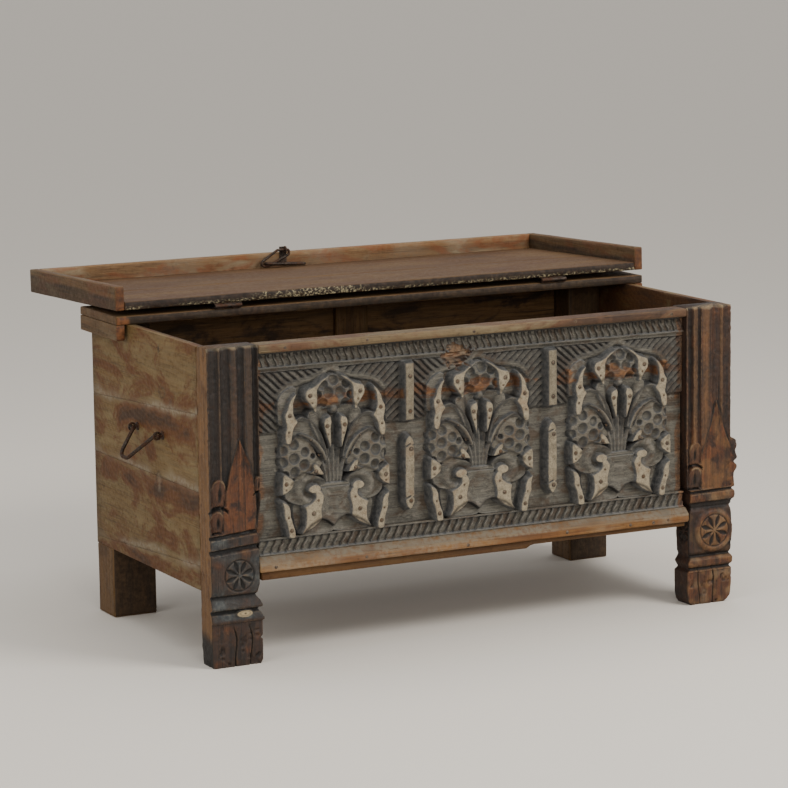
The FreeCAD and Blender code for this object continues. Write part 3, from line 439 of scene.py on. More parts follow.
def board(name, low, high, material, body="carcass", nodes=None, radius=2.2,
          step=9.0, worn=1.0, warp=None, lid=False, seed=0, attributes=None):
    """A hand-worked board between two corners (across, back, up), dented a little inwards."""
    low, high = [np.array((x, y_of(back), z), dtype=np.float64) for x, back, z in (low, high)]
    radius = min(radius, min(high - low) * .3)
    points, faces = lattice(low, high, radius, step)
    core = np.clip(points, low + radius, high - radius)
    reach = unit(points - core)
    edge = np.clip((1 - np.abs(reach).max(axis=1)) * 3.4, 0, 1)
    spots = points + seed * 131.7
    hills = .5 + .5 * wander(spots, 70)
    chips = np.clip(wander(spots, 13, 3) + .6 * wander(spots, 5, 5) - .25, 0, 1)
    dent = worn * (.5 * hills + edge * (1.1 * chips * radius + .35))
    points = core + reach * (radius - np.minimum(dent, radius * .95))[:, None]
    if warp:
        points = warp(points)
    if lid:
        points = opened(points)
    layers = {"wear": edge * (.55 + .45 * hills), "hollow": 0.0,
              "piece": (seed * .37) % 5 + seed * .21}
    layers.update(attributes(points) if attributes else {})
    thing = make_object(name, points, faces, material, body, layers)
    if nodes != ():
        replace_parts(thing, *(nodes or (name,)))
    return thing


def back_share(points):
    """From 0 at the back of the front posts to 1 at the back of the chest."""
    return (points[:, 1] - y_of(POST_DEPTH)) / (DEPTH - POST_DEPTH)


def side_warp(low_line, high_line, bottom, top):
    """Stretch a level board between two sloping joints."""
    def warp(points):
        low, high = [line[0] + (line[1] - line[0]) * back_share(points)
                     for line in (low_line, high_line)]
        share = (points[:, 2] - bottom) / (top - bottom)
        moved = points.copy()
        moved[:, 2] = low + (high - low) * share
        return moved
    return warp


# Old marks on the left side: place, height, half sizes and kind.
MARKS = [(-202, 607, 3.5, 9, "hollow"), (-214, 520, 15, 13, "ring"), (37, 312, 7, 7, "ring"),
         (-190, 340, 12, 10, "filler"), (-190, 322, 8, 9, "filler"), (112, 275, 3.5, 3.5, "hollow"),
         (-190, 334, 15, 19, "ring")]


def side_layers(low_line, high_line):
    """Ragged filler along the joints of a side board, stains under it and old marks."""
    def layers(points):
        depth = back_share(points)
        level = points[:, 2]
        filler = np.zeros(len(points))
        stain = -.35 * ease((318 - level) / 30)
        ragged = 4 + 10 * (.5 + .5 * wander(points, 24, 2))
        shift = 9 * wander(points, 60, 12) + 4 * wander(points, 16, 13)
        patches = ease(.75 + wander(points, 75, 14))
        left = points[:, 0] < 0
        for line in (low_line, high_line):
            if line:
                away = level - line[0] - (line[1] - line[0]) * depth
                share = (.45 if line[0] == MIDDLE_JOINT else 1) * patches
                filler = np.maximum(filler, share * bell(away - 3 + shift, ragged))
                stain += 1.0 * bell(away + 30 + shift, 24)
        near = bell(points[:, 1] - y_of(POST_DEPTH), 16)
        far = bell(points[:, 1] - y_of(DEPTH), 26)
        hollow = .35 * far + .2 * near + .1 * ease((400 - level) / 120)
        for place, height, half, tall, kind in MARKS:
            away = np.hypot((points[:, 1] - place) / half, (level - height) / tall)
            away = away + .25 * wander(points, 7, 15)
            spot = ease((1.25 - away) / .5) * left
            if kind == "ring":
                hollow = np.maximum(hollow, .5 * bell(away - .9, .22) * left)
            elif kind == "hollow":
                hollow = np.maximum(hollow, .7 * spot)
            else:
                filler = np.maximum(filler, .6 * spot)
        stain = np.minimum(stain, .75)
        # The inner face, inside the chest, is stained and darkened; the darkening is painted shade.
        inside = ease((592 - np.abs(points[:, 0])) / 4)
        hollow = np.maximum(hollow * (1 - inside), .5 * inside)
        return {"filler": .85 * filler * (1 - inside), "hollow": hollow, "wear": 0.0,
                "stain": np.maximum(stain, .6 * inside)}
    return layers


JOINT_GAP, MIDDLE_JOINT = .1, 345
SIDE_LINES = [("bottom_board", (LEG_TOP, LEG_TOP), (198, 162)),
              ("lower_board", (198, 162), (MIDDLE_JOINT, MIDDLE_JOINT)),
              ("middle_board", (MIDDLE_JOINT, MIDDLE_JOINT), (500, 467)),
              ("top_board", (500, 467), (TOP, TOP))]
for wall, near, far in (("left_side", -HALF_WIDTH, -WALL_INSIDE),
                        ("right_side", WALL_INSIDE, HALF_WIDTH)):
    for number, (name, low_line, high_line) in enumerate(SIDE_LINES):
        low_ends = tuple(z + JOINT_GAP * (number > 0) for z in low_line)
        bottom, top = low_ends[0], high_line[0]
        board("%s_%s" % (wall, name), (near, POST_DEPTH, bottom), (far, DEPTH, top), SIDE,
              warp=side_warp(low_ends, high_line, bottom, top), seed=number + (near > 0) * 7,
              radius=.3, step=4.5,
              attributes=side_layers(low_ends if number else None,
                                     high_line if number < 3 else None))

for number, (name, bottom, top) in enumerate((("back_bottom_board", LEG_TOP, 300),
                                              ("back_middle_board", 300, 470),
                                              ("back_top_board", 470, TOP))):
    board(name, (-WALL_INSIDE, BACK_INSIDE, bottom), (WALL_INSIDE, DEPTH, top), INSIDE,
          seed=20 + number,
          attributes=lambda points: {"stain": -.75 * ease((points[:, 1] - y_of(597)) / 2)})
board("back_batten", (-47, 564, FLOOR_TOP), (29, BACK_INSIDE, TOP), LEG, seed=24)
board("front_top_rail", (-POST_INSIDE, 0, RAIL_LOW), (POST_INSIDE, PANEL_BACK, TOP), RAIL,
      seed=30, radius=3.2, worn=1.6, step=5, attributes=lambda points: {
          "stain": 1.1 * ease((points[:, 0] - 40) / 300),
          "hollow": .12 + .12 * ease((points[:, 0] - 40) / 300)})


def bevelled(points):
    """Lower the front of the bottom rail's top to its bevel."""
    moved = points.copy()
    depth = points[:, 1] - y_of(0)
    top = SILL_TOP - np.maximum(BEVEL - depth, 0)
    share = (points[:, 2] - FLOOR_LOW) / (SILL_TOP - FLOOR_LOW)
    moved[:, 2] = FLOOR_LOW + (top - FLOOR_LOW) * share
    return moved


def sill_layers(points):
    """Grey on the bevel, where dust and water lie."""
    bevel = ease((points[:, 2] - 195) / 3)
    right = ease((points[:, 0] - 400) / 60) * ease(.8 + wander(points, 30, 5))
    front = (1 - bevel) * ease((150 - points[:, 0]) / 250) * ease(.6 + wander(points, 60, 6))
    return {"filler": bevel * ease(1.1 + wander(points, 40, 4)) + .7 * right + .5 * front,
            "stain": .3 * (1 - bevel), "hollow": .2 * right + .42 * bevel}


board("front_bottom_rail", (-496, 0, FLOOR_LOW), (496, PANEL_GROUND, SILL_TOP), SILL, seed=31,
      step=5, warp=bevelled, worn=1.6, radius=3, attributes=sill_layers)


def stepped(points):
    """Raise the underside of the front bearer right of its step."""
    moved = points.copy()
    tall = FLOOR_LOW - BEARER_LOW
    lift = 7 * ease((points[:, 0] - 112) / 8)
    moved[:, 2] = FLOOR_LOW - (FLOOR_LOW - points[:, 2]) * (tall - lift) / tall
    return moved


board("front_floor_bearer", (-POST_INSIDE, 8, BEARER_LOW), (POST_INSIDE, 79, FLOOR_LOW), LID,
      seed=32, warp=stepped)
board("rear_floor_bearer", (-LEG_INSIDE, 560, BEARER_LOW), (LEG_INSIDE, BACK_INSIDE, FLOOR_LOW),
      INSIDE, seed=33)
for seed, (name, near, far) in enumerate((("left", -WALL_INSIDE, -560),
                                          ("right", 560, WALL_INSIDE)), 34):
    board(name + "_floor_bearer", (near, POST_DEPTH, BEARER_LOW), (far, LEG_FRONT, FLOOR_LOW),
          INSIDE, seed=seed)
for seed, (name, half, near, far, nodes) in enumerate((
        ("floor_front_board", WALL_INSIDE, POST_DEPTH, 232, None),
        ("floor_middle_board", WALL_INSIDE, 232, REAR_FLOOR, None),
        ("floor_rear_board_middle", LEG_INSIDE, REAR_FLOOR, BACK_INSIDE,
         ("floor_rear_board",))), 36):
    board(name, (-half, near, FLOOR_LOW), (half, far, FLOOR_TOP), INSIDE, seed=seed, step=14,
          nodes=nodes)
for side, name in ((-1, "left"), (1, "right")):
    near, far = sorted((side * LEG_INSIDE, side * WALL_INSIDE))
    board("floor_rear_board_%s" % name, (near, REAR_FLOOR, FLOOR_LOW),
          (far, LEG_FRONT, FLOOR_TOP), INSIDE, seed=39 + side, step=14, nodes=())
    foot_near, foot_far = sorted((side * LEG_INSIDE, side * HALF_WIDTH))
    # Painted shade on the foot's front face under the chest, and all over the leg's upper part
    # inside the chest.
    board("rear_%s_leg_foot" % name, (foot_near, LEG_FRONT, 0), (foot_far, DEPTH, LEG_TOP), LEG,
          seed=45 + side, worn=1.6, radius=3, step=6, nodes=("rear_%s_leg" % name,),
          attributes=lambda points: {"hollow": .72 * ease((y_of(LEG_FRONT + 2) - points[:, 1])
                                                          / 1.5)})
    board("rear_%s_leg_upper" % name, (near, LEG_FRONT, LEG_TOP), (far, BACK_INSIDE, TOP), LEG,
          seed=48 + side, nodes=(), attributes=lambda points: {"hollow": .5})


def near_end(place):
    """Reddish end grain on the end that looks forwards."""
    return lambda points: {"end": ease((place + 2.5 - points[:, 1]) / 2), "stain": -1.0}


def strip_layers(points):
    """A sooty front face under a rubbed arris, with end grain left of the left corner."""
    front = ease((y_of(402) - points[:, 1]) / 1.2)
    corner = ease((-597 - points[:, 0] + 3 * wander(points, 7, 2)) / 3)
    return {"hollow": .8 * front * (1 - corner), "end": front * corner,
            "wear": .8 * ease((points[:, 2] - 651) / 1.5) * ease((y_of(408) - points[:, 1]) / 6)}


board("rear_top_strip", (-LID_HALF, STRIP_FRONT, TOP), (LID_HALF, DEPTH, LID_TOP), STRIP,
      seed=50, radius=2.4, worn=1.5, step=6, attributes=strip_layers)
for side, name in ((-1, "left"), (1, "right")):
    near, far = sorted((side * 606, side * LID_HALF))
    board("strip_%s_apron" % name, (near, STRIP_FRONT, RIM_LOW), (far, DEPTH, TOP), END,
          seed=51 + side, radius=2, attributes=near_end(y_of(STRIP_FRONT)))


def hinge_edge(points):
    """The sooty hinge edge of the lid with remains of cream paint on its lower arris."""
    edge = ease((y_of(402.5) - points[:, 1]) / 1.2)
    middle = ease((points[:, 0] + 330) / 40) * ease((-40 - points[:, 0]) / 60)
    patch = middle * ease((.3 + .5 * wander(points, 14, 5)) / .3)
    low = ease((671 - points[:, 2] + 1.5 * wander(points, 20, 6)) / 4)
    line = low * ease((.9 + wander(points, 33, 8)) / .6)
    near = ease((y_of(420) - points[:, 1]) / 10)
    return {"hollow": np.maximum(.93 * edge, .3 * near), "cream": edge * np.clip(
        .9 * line + .6 * patch, 0, 1), "wear": .25 * near * (1 - edge)}


def rim_end(points):
    """End grain on the rim's near end, and a darker lower board under a joint line."""
    joint = bell(points[:, 2] - 684, 3)
    near = ease((y_of(403) - points[:, 1]) / 1.5)
    upper = ease((points[:, 2] - 684) / 2)
    return {"end": near, "hollow": np.maximum(.9 * joint, .55 * (1 - upper) * (1 - near)
                                              + .3 * upper * near)}


def rim_face(points):
    """Dusty grey and worn on the inner face of the front rim."""
    return {"filler": .3 * ease(.5 + wander(points, 70, 3)),
            "hollow": .3 * ease((690 - points[:, 2]) / 7)}


LID_PIECES = [
    ("lid_front_board", (-RIM_INSIDE, RIM_BACK, LID_LOW), (RIM_INSIDE, 190, LID_TOP), LID, 11,
     None),
    ("lid_rear_board", (-RIM_INSIDE, 190.6, LID_LOW), (RIM_INSIDE, LID_END, LID_TOP), LID, 6,
     hinge_edge),
    ("lid_front_rim", (-RIM_INSIDE, LID_FRONT, RIM_LOW), (RIM_INSIDE, RIM_BACK, LID_TOP), RIM, 7,
     rim_face),
    ("lid_left_rim", (-LID_HALF, LID_FRONT, RIM_LOW), (-RIM_INSIDE, LID_END, LID_TOP), END, 7,
     rim_end),
    ("lid_right_rim", (RIM_INSIDE, LID_FRONT, RIM_LOW), (LID_HALF, LID_END, LID_TOP), END, 7,
     rim_end),
]
for seed, (name, low, high, material, step, layers) in enumerate(LID_PIECES, 60):
    board(name, low, high, material, body="lid", seed=seed, step=step, lid=True,
          radius=2.2, worn=1.4, attributes=layers)


# Relief carving on a grid: distances inside outlines, heights over the ground.

def rounded_outline(points, passes=2):
    """An outline with its corners cut twice, which leaves a repeated point sharper."""
    line = np.array(points, dtype=np.float64)
    for _ in range(passes):
        after = np.roll(line, -1, axis=0)
        line = np.stack((line * .8 + after * .2, line * .2 + after * .8), axis=1).reshape(-1, 2)
    return line


def inside_distance(x, z, outline):
    """Distance from points to an outline, positive inside it."""
    nearest = np.full(x.shape, 1e9)
    inside = np.zeros(x.shape, dtype=bool)
    after = np.roll(outline, -1, axis=0)
    for (ax, az), (bx, bz) in zip(outline, after):
        dx, dz = bx - ax, bz - az
        length = dx * dx + dz * dz
        if length < 1e-9:
            continue
        t = np.clip(((x - ax) * dx + (z - az) * dz) / length, 0, 1)
        nearest = np.minimum(nearest, (x - ax - t * dx) ** 2 + (z - az - t * dz) ** 2)
        crosses = (az > z) != (bz > z)
        if az != bz:
            inside ^= crosses & (x < dx * (z - az) / dz + ax)
    distance = np.sqrt(nearest)
    return np.where(inside, distance, -distance)


def segment_distance(x, z, start, stop):
    """Distance from points to the line between two places."""
    (ax, az), (bx, bz) = start, stop
    dx, dz = bx - ax, bz - az
    t = np.clip(((x - ax) * dx + (z - az) * dz) / (dx * dx + dz * dz), 0, 1)
    return np.hypot(x - ax - t * dx, z - az - t * dz)


class Carving:
    """A carved face: heights over its ground on a grid, with what its finish needs to know."""

    def __init__(self, xs, zs, seed):
        self.xs, self.zs = xs, zs
        self.x, self.z = np.meshgrid(xs, zs, indexing="ij")
        self.place = seed * 9.1
        self.wx = self.x + self.noise(55, seed) * 1.6
        self.wz = self.z + self.noise(55, seed + 3) * 1.6
        self.rough = self.noise(4.5, seed + 5)
        # dark holds painted shade, and darker rings round the nails and in the torn scar.
        self.height, self.top, self.dark = np.zeros((3, *self.x.shape))

    def noise(self, size, seed):
        """Noise over the face."""
        return noise_on(self.x, self.z, self.place, size, seed)

    def streaks(self, stretch, size, seed):
        """Noise over the face, drawn out along it."""
        return noise_on(self.x / stretch, self.z, 0, size, seed)

    def window(self, low, high, margin=6):
        """The part of the grid round a form."""
        a0, a1 = np.searchsorted(self.xs, (low[0] - margin, high[0] + margin))
        b0, b1 = np.searchsorted(self.zs, (low[1] - margin, high[1] + margin))
        return slice(a0, a1), slice(b0, b1)

    def form(self, outline, height, flank=2.6, top=0.0, passes=2):
        """Raise a form. The height is a number or a function of the inside distance, x and z."""
        line = rounded_outline(outline, passes)
        part = self.window(line.min(axis=0), line.max(axis=0), flank + 4)
        x, z = self.wx[part], self.wz[part]
        if not x.size:
            return
        distance = inside_distance(x, z, line) + .35 * self.rough[part]
        level = height(distance, x, z) if callable(height) else height
        slope = np.clip((distance + flank) / flank, 0, 1)
        raised = level * (.45 * slope + .55 * ease(slope))
        over = raised > self.height[part]
        self.height[part] = np.where(over, raised, self.height[part])
        cap = ease((distance + .4) / 1.6) * top
        self.top[part] = np.where(over, cap, self.top[part])

    def carve(self, outline, level):
        """Cut what stands inside an outline down to a level."""
        line = rounded_outline(outline, 1)
        part = self.window(line.min(axis=0), line.max(axis=0))
        if not self.wx[part].size:
            return
        distance = inside_distance(self.wx[part], self.wz[part], line)
        share = ease((distance + 1) / 2)
        self.height[part] = np.where(self.height[part] > level, self.height[part] * (1 - share)
                                     + level * share, self.height[part])
        self.top[part] *= 1 - share

    def cup(self, x, z, radius, depth):
        """A round hollow cut into what is there."""
        part = self.window((x - radius, z - radius), (x + radius, z + radius))
        if not self.wx[part].size:
            return
        away = np.hypot(self.wx[part] - x, self.wz[part] - z) / radius
        bowl = np.clip(1 - away ** 2, 0, 1)
        self.height[part] -= depth * bowl ** .7
        # Painted shade inside the cup and along its rim.
        rim = bell(away - .8, .22)
        self.dark[part] = np.maximum(self.dark[part], .04 * (away < 1) + .26 * rim)
        self.top[part] *= np.clip((away - .92) / .1, 0, 1)

    def groove(self, start, stop, width, depth):
        """A narrow groove between two places."""
        part = self.window(np.minimum(start, stop) - width, np.maximum(start, stop) + width)
        if self.wx[part].size:
            away = segment_distance(self.wx[part], self.wz[part], start, stop) / width
            self.height[part] -= depth * ease(1 - away)

    def shade(self, line, width, amount):
        """Painted shade along a line."""
        for start, stop in zip(line[:-1], line[1:]):
            part = self.window(np.minimum(start, stop), np.maximum(start, stop), width * 2)
            if self.wx[part].size:
                away = segment_distance(self.wx[part], self.wz[part], start, stop)
                self.dark[part] = np.maximum(self.dark[part], amount * bell(away, width))

    def blur(self, field, reach):
        """The field averaged over a square of the grid."""
        count = 2 * reach + 1
        for axis in (0, 1):
            pad = [(0, 0), (0, 0)]
            pad[axis] = (reach + 1, reach)
            total = np.cumsum(np.pad(field, pad, mode="edge"), axis=axis)
            total = np.moveaxis(total, axis, 0)
            field = np.moveaxis((total[count:] - total[:-count]) / count, 0, axis)
        return field

    def layers(self):
        """Wear on the arrises, painted shade in the hollows and slate on the flanks."""
        pitch = self.xs[1] - self.xs[0]
        wide = self.blur(self.blur(self.height, int(5 / pitch)), int(5 / pitch))
        near = self.blur(self.height, max(1, int(1.5 / pitch)))
        gx, gz = np.gradient(self.height, pitch)
        slope = np.hypot(gx, gz)
        # Painted shade where the carving lies below the heights around it.
        hollow = np.clip((wide - self.height - .8) / 10, 0, 1) ** .8
        wear = np.clip((self.height - near) / 1.1, 0, 1) * np.clip(1.6 - slope * .5, 0, 1)
        steep = ease((slope - .35) / 1.2)
        hollow *= .85 - .25 * steep
        return {"hollow": np.clip(hollow + self.dark, 0, 1), "wear": wear * (.3 + .5 * self.top),
                "steep": steep, "top": self.top * (1 - steep)}


def carved_board(name, carving, back, extra):
    """A closed board whose front is a carving that looks towards -Y."""
    nx, nz = carving.height.shape
    y = y_of(PANEL_GROUND) - carving.height
    points = np.stack((carving.x, y, carving.z), axis=-1).reshape(-1, 3)
    index = np.arange(nx * nz).reshape(nx, nz)
    faces = grid_quads(index).tolist()
    loop = np.concatenate((index[:, 0], index[-1, 1:], index[-2::-1, -1],
                           index[0, -2:0:-1])).tolist()
    rear = points[loop]
    rear[:, 1] = y_of(back)
    first, count = len(points), len(loop)
    for i in range(count):
        j = (i + 1) % count
        faces.append([loop[j], loop[i], first + i, first + j])
    faces.append(list(range(first, first + count))[::-1])
    points = np.concatenate((points, rear))
    layers = {}
    for key, field in {**carving.layers(), **extra}.items():
        flat = np.asarray(field)
        if flat.ndim:
            flat = np.concatenate((flat.ravel(), np.zeros(count)))
        layers[key] = flat
    return make_object(name, points, faces, PANEL, "carcass", layers)


# Right half of a vase motif: places from the middle line and heights from the floor.
TOP_FORMS = {
    "outer_leaf": [(84, 533), (92, 518), (92.5, 502), (92.5, 492), (83, 475.5), (83, 475.5),
                   (90, 467), (95, 455), (97, 434), (107, 434), (109, 443), (109, 456),
                   (105, 466), (106, 474), (109, 484), (109, 494), (103.5, 501), (100, 515),
                   (93, 526)],
    "inner_leaf": [(14, 561), (14, 561), (27, 555.5), (37, 547), (48, 541.5), (61, 538.5),
                   (64.5, 531), (63.5, 520), (56, 511), (49, 501), (46, 493), (42, 493),
                   (42, 503), (39.5, 515), (40, 527), (40, 536), (36, 544), (27, 551.5)],
    "blade": [(12, 480), (12, 480), (23, 476), (26, 466), (23, 452), (18, 436), (13, 419),
              (13, 419), (11.5, 430), (12.5, 445), (12.5, 460), (9.5, 470)],
    "fang": [(117, 374), (118, 350), (117, 333), (117, 333), (108, 337), (97, 346), (93, 358),
             (93, 358), (102, 366), (110, 371)],
    "scroll_plate": [(47, 334), (36, 334), (29, 322), (31, 311), (34.5, 300), (35.5, 288),
                     (33, 278), (42, 270), (55, 261), (75, 252), (75, 252), (67, 266),
                     (65.5, 284), (66.5, 297), (69, 303), (69, 303), (54.5, 309.5), (44.5, 319)],
    "foot_strip": [(106, 312), (117, 317), (117, 317), (113, 303), (114, 288), (108, 275),
                   (105, 258), (104, 245), (90, 245), (92, 262), (97, 276), (101, 289),
                   (101, 300)],
    "crescent": [(80, 450), (80, 450), (64, 443), (51, 433), (40, 420), (31, 404), (24, 392),
                 (20, 396), (25, 410), (33, 424), (44, 436), (58, 445), (72, 451)],
    "little_leaf": [(27, 366), (27, 366), (34, 379), (47, 391), (51, 385), (46, 377), (53, 373),
                    (62, 372), (62, 372), (45, 367)],
}
CUPS = [(112, 420, 10), (90, 429, 11), (66, 414, 10.5), (90, 403, 11.5), (113, 394, 10.5),
        (66, 388, 11.5), (88, 376, 10.5), (108, 369, 9), (48, 404, 7)]
BERRIES = [(-22, 543, 10.5), (2, 551, 11), (26, 541, 10), (-36, 523, 9), (-12, 528, 11.5),
           (14, 526, 11.5), (37, 518, 9), (-24, 506, 11), (25, 503, 11)]
NAILS = [(99.5, 490, 3.4), (102, 457, 2), (55, 526, 3.6), (50, 511, 1.8), (19, 462, 3.4),
         (17, 446, 1.8), (110, 354, 3.6), (110, 342, 1.8), (51, 289, 3.6), (41, 314, 2),
         (99, 260, 3.4), (105, 286, 1.9), (54, 437, 2), (33, 405, 3.2), (44, 373, 3.4),
         (40, 368, 1.6)]
OGEE = [(-121, 522), (-108, 538), (-96, 546), (-75, 552), (-48, 556), (-25, 564), (0, 578),
        (25, 564), (48, 556), (75, 552), (96, 546), (108, 538), (121, 522)]
# Painted shade in the crevices between the leaves: line, width and depth of the shade.
CREVICES = [([(11, 400), (20, 430), (28, 456), (33, 484)], 4.5, .6),
            ([(26, 398), (41, 424), (57, 440), (74, 449), (88, 446), (97, 437)], 3.5, .75),
            ([(14, 398), (20, 420), (29, 443), (41, 463), (56, 478), (72, 486), (88, 483)], 3, .65),
            ([(8, 497), (24, 503), (42, 502), (58, 494)], 3.5, .6),
            ([(22, 352), (36, 365), (52, 371), (68, 372), (86, 365), (98, 353)], 3.5, .7),
            ([(60, 376), (44, 392), (36, 398)], 3.5, .5)]
BAY_SHIFT, BAY_PITCH, BAYS, BETWEEN = 4, 329, (-1, 0, 1), (-.5, .5)
PANEL_LOW = 213
RELIEF = 25


def bay_centre(bay):
    """The middle line of a bay, counted from the middle one."""
    return BAY_SHIFT + bay * BAY_PITCH


def ribbon(line, width):
    """The outline of a band of a width along a line."""
    line = np.array(line, dtype=np.float64)
    run = unit(np.gradient(line, axis=0))
    side = np.stack((-run[:, 1], run[:, 0]), axis=1) * width / 2
    return np.concatenate((line + side, (line - side)[::-1]))


def both(half):
    """A whole outline from its right half, which runs from middle line to middle line."""
    return half + [(-x, z) for x, z in reversed(half) if x]


def hill(low, peak, high, lift):
    """The line of a low hill, raised by a lift half way to its peak."""
    return [low, ((low[0] + peak[0]) / 2, (low[1] + peak[1]) / 2 + lift), peak,
            ((high[0] + peak[0]) / 2, (high[1] + peak[1]) / 2 + lift), high]


def carve_motif(c, centre):
    """One vase with its flowers, grapes, fronds and leaves."""
    def place(points, side=1):
        spots = [(centre + side * px, pz) for px, pz in points]
        return spots if side > 0 else spots[::-1]

    chance = np.random.default_rng(int(centre) + 700)

    def nudge():
        return chance.normal(0, .9)

    c.form(place(ribbon(OGEE, 11)), lambda d, x, z: 6 + 1.5 * ease(d / 4), flank=3)
    c.form(place(both([(0, 562), (22, 558), (38, 550), (46, 536), (46, 515), (40, 500),
                       (20, 496)])),
           lambda d, x, z: 13 + 5 * ease(d / 14), flank=3)
    for px, pz, radius in BERRIES:
        c.cup(centre + px + nudge(), pz + nudge(), radius + .5 * nudge(), 9)
    for side in (-1, 1):
        c.form(place([(26, 388), (38, 400), (46, 420), (60, 436), (75, 447), (96, 447),
                      (108, 436), (114, 420), (115, 396), (110, 376), (104, 366), (84, 360),
                      (60, 362), (40, 370)], side),
               lambda d, x, z: 15 + 4 * ease(d / 22), flank=5, top=.12)
        for px, pz, radius in CUPS:
            c.cup(centre + side * px + nudge(), pz + nudge(), radius + .5 * nudge(), 8.5)
    # A lower plate left of the left outer leaf.
    c.form(place([(96, 472), (119, 470), (121, 500), (120, 520), (108, 536), (88, 546),
                  (78, 540)], -1), lambda d, x, z: 12 + 2 * ease(d / 8), flank=3, passes=1)
    ball = [(10 * math.cos(t), 494 + 10 * math.sin(t)) for t in np.linspace(0, 6.28, 17)[:-1]]
    c.form(place(ball), lambda d, x, z: 11 + 8 * np.sqrt(ease(d / 9)), flank=2, passes=1)
    for side in (-1, 1):
        c.form(place([(16, 396), (20, 418), (28, 442), (38, 461), (52, 476), (70, 484),
                      (86, 480), (98, 467), (105, 450), (106, 434), (96, 434), (86, 444),
                      (74, 446), (58, 437), (42, 421), (29, 400)], side),
               lambda d, x, z: 12 + 8 * bell(d, 6), flank=4.5)
        c.form(place([(8, 494), (24, 500), (42, 499), (55, 492), (58, 482), (50, 464),
                      (38, 442), (24, 414), (12, 398), (9, 420), (14, 445), (18, 468)], side),
               lambda d, x, z: 6 + 12 * ease(((x - centre) * side - 14) / 34)
               + 1.5 * bell(d, 4), flank=5)

        def volute(d, x, z):
            away = np.hypot(((x - centre) * side - 48) / 1.25, z - 336)
            return 9 + 9 * bell(away - 25, 9) + 3 * bell(d, 4)

        c.form(place([(20, 350), (34, 361), (50, 367), (66, 368), (82, 362), (96, 350),
                      (108, 336), (106, 322), (94, 312), (76, 306), (60, 308), (48, 320),
                      (34, 340)], side), volute, flank=3)
        c.form(place([(68, 304), (74, 312), (84, 310), (88, 296), (84, 276), (80, 258),
                      (76, 252), (70, 268)], side), 5, flank=3)
    for side in (-1, 1):
        for line, width, amount in CREVICES:
            c.shade(place(line, side), width, amount)
    for start, stop in (((-15, 344), (-32, 404)), ((-8, 344), (-15, 420)), ((0, 344), (0, 420)),
                        ((8, 344), (15, 420)), ((15, 344), (32, 404))):
        c.form(place(ribbon([start, ((start[0] + stop[0]) / 2 * .8, 374), stop], 8)),
               lambda d, x, z: 8 + 3.5 * ease(d / 4.5), flank=4, passes=1)
    c.form(place(both([(0, 346), (34, 345), (30, 328), (32, 306), (37, 288), (32, 274),
                       (10, 262), (0, 258)])),
           lambda d, x, z: 18 - 7 * ease(d / 26) - 3.5 * ease((z - 338) / 6), flank=2)
    c.groove((centre - 30, 339), (centre + 30, 339), 2.2, 3.5)
    # Two low hills at the foot, in the shade of the vase over them.
    for low, peak, high in (((-76, 248), (-36, 277), (-3, 259)),
                            ((-3, 259), (28, 279), (80, 248))):
        line = hill(low, peak, high, 4)
        c.carve(place([(low[0], 240), *line, (high[0], 240)]), 2.0)
        c.form(place([(low[0], 246), *line, (high[0], 246)]),
               lambda d, x, z: 3.5 + 6.5 * ease((272 - z) / 24) + 2.0 * bell(d, 2),
               flank=2)
        c.shade(place(hill(low, peak, high, 5)), 3.2, .8)
    for side in (-1, 1):
        for name, outline in TOP_FORMS.items():
            small = name in ("little_leaf", "crescent")
            c.form(place(outline, side), RELIEF - 2 * small, flank=3 if small else 7,
                   top=.3 if name == "crescent" else 1.0)
        spot = [(48 + 13 * math.cos(t), 338 + 8.5 * math.sin(t))
                for t in np.linspace(0, 2 * math.pi, 18)[:-1]]
        c.form(place(spot, side), RELIEF, flank=4, top=1.0, passes=1)


def carve_upright(c, centre):
    """The nailed block and the pointed colonnette between two vases."""
    block = [(centre + px, pz) for px, pz in ((-7.5, 459), (10, 459), (10, 572), (-7.5, 572))]
    c.form(block, RELIEF, flank=9, top=1.0, passes=0)
    shaft = [(centre + px, pz) for px, pz in both([
        (0, 275), (6, 283), (9.5, 291), (9, 300), (9.5, 310), (9.5, 392), (9, 402), (9.5, 410),
        (6, 419), (0, 425)])]
    c.form(shaft, RELIEF - 1, flank=7, top=1.0, passes=1)
    for level in (299, 405):
        c.groove((centre - 12, level - 3), (centre + 1, level + 3), 2.0, 4)
        c.groove((centre + 7, level + 1), (centre + 12, level), 1.8, 3)


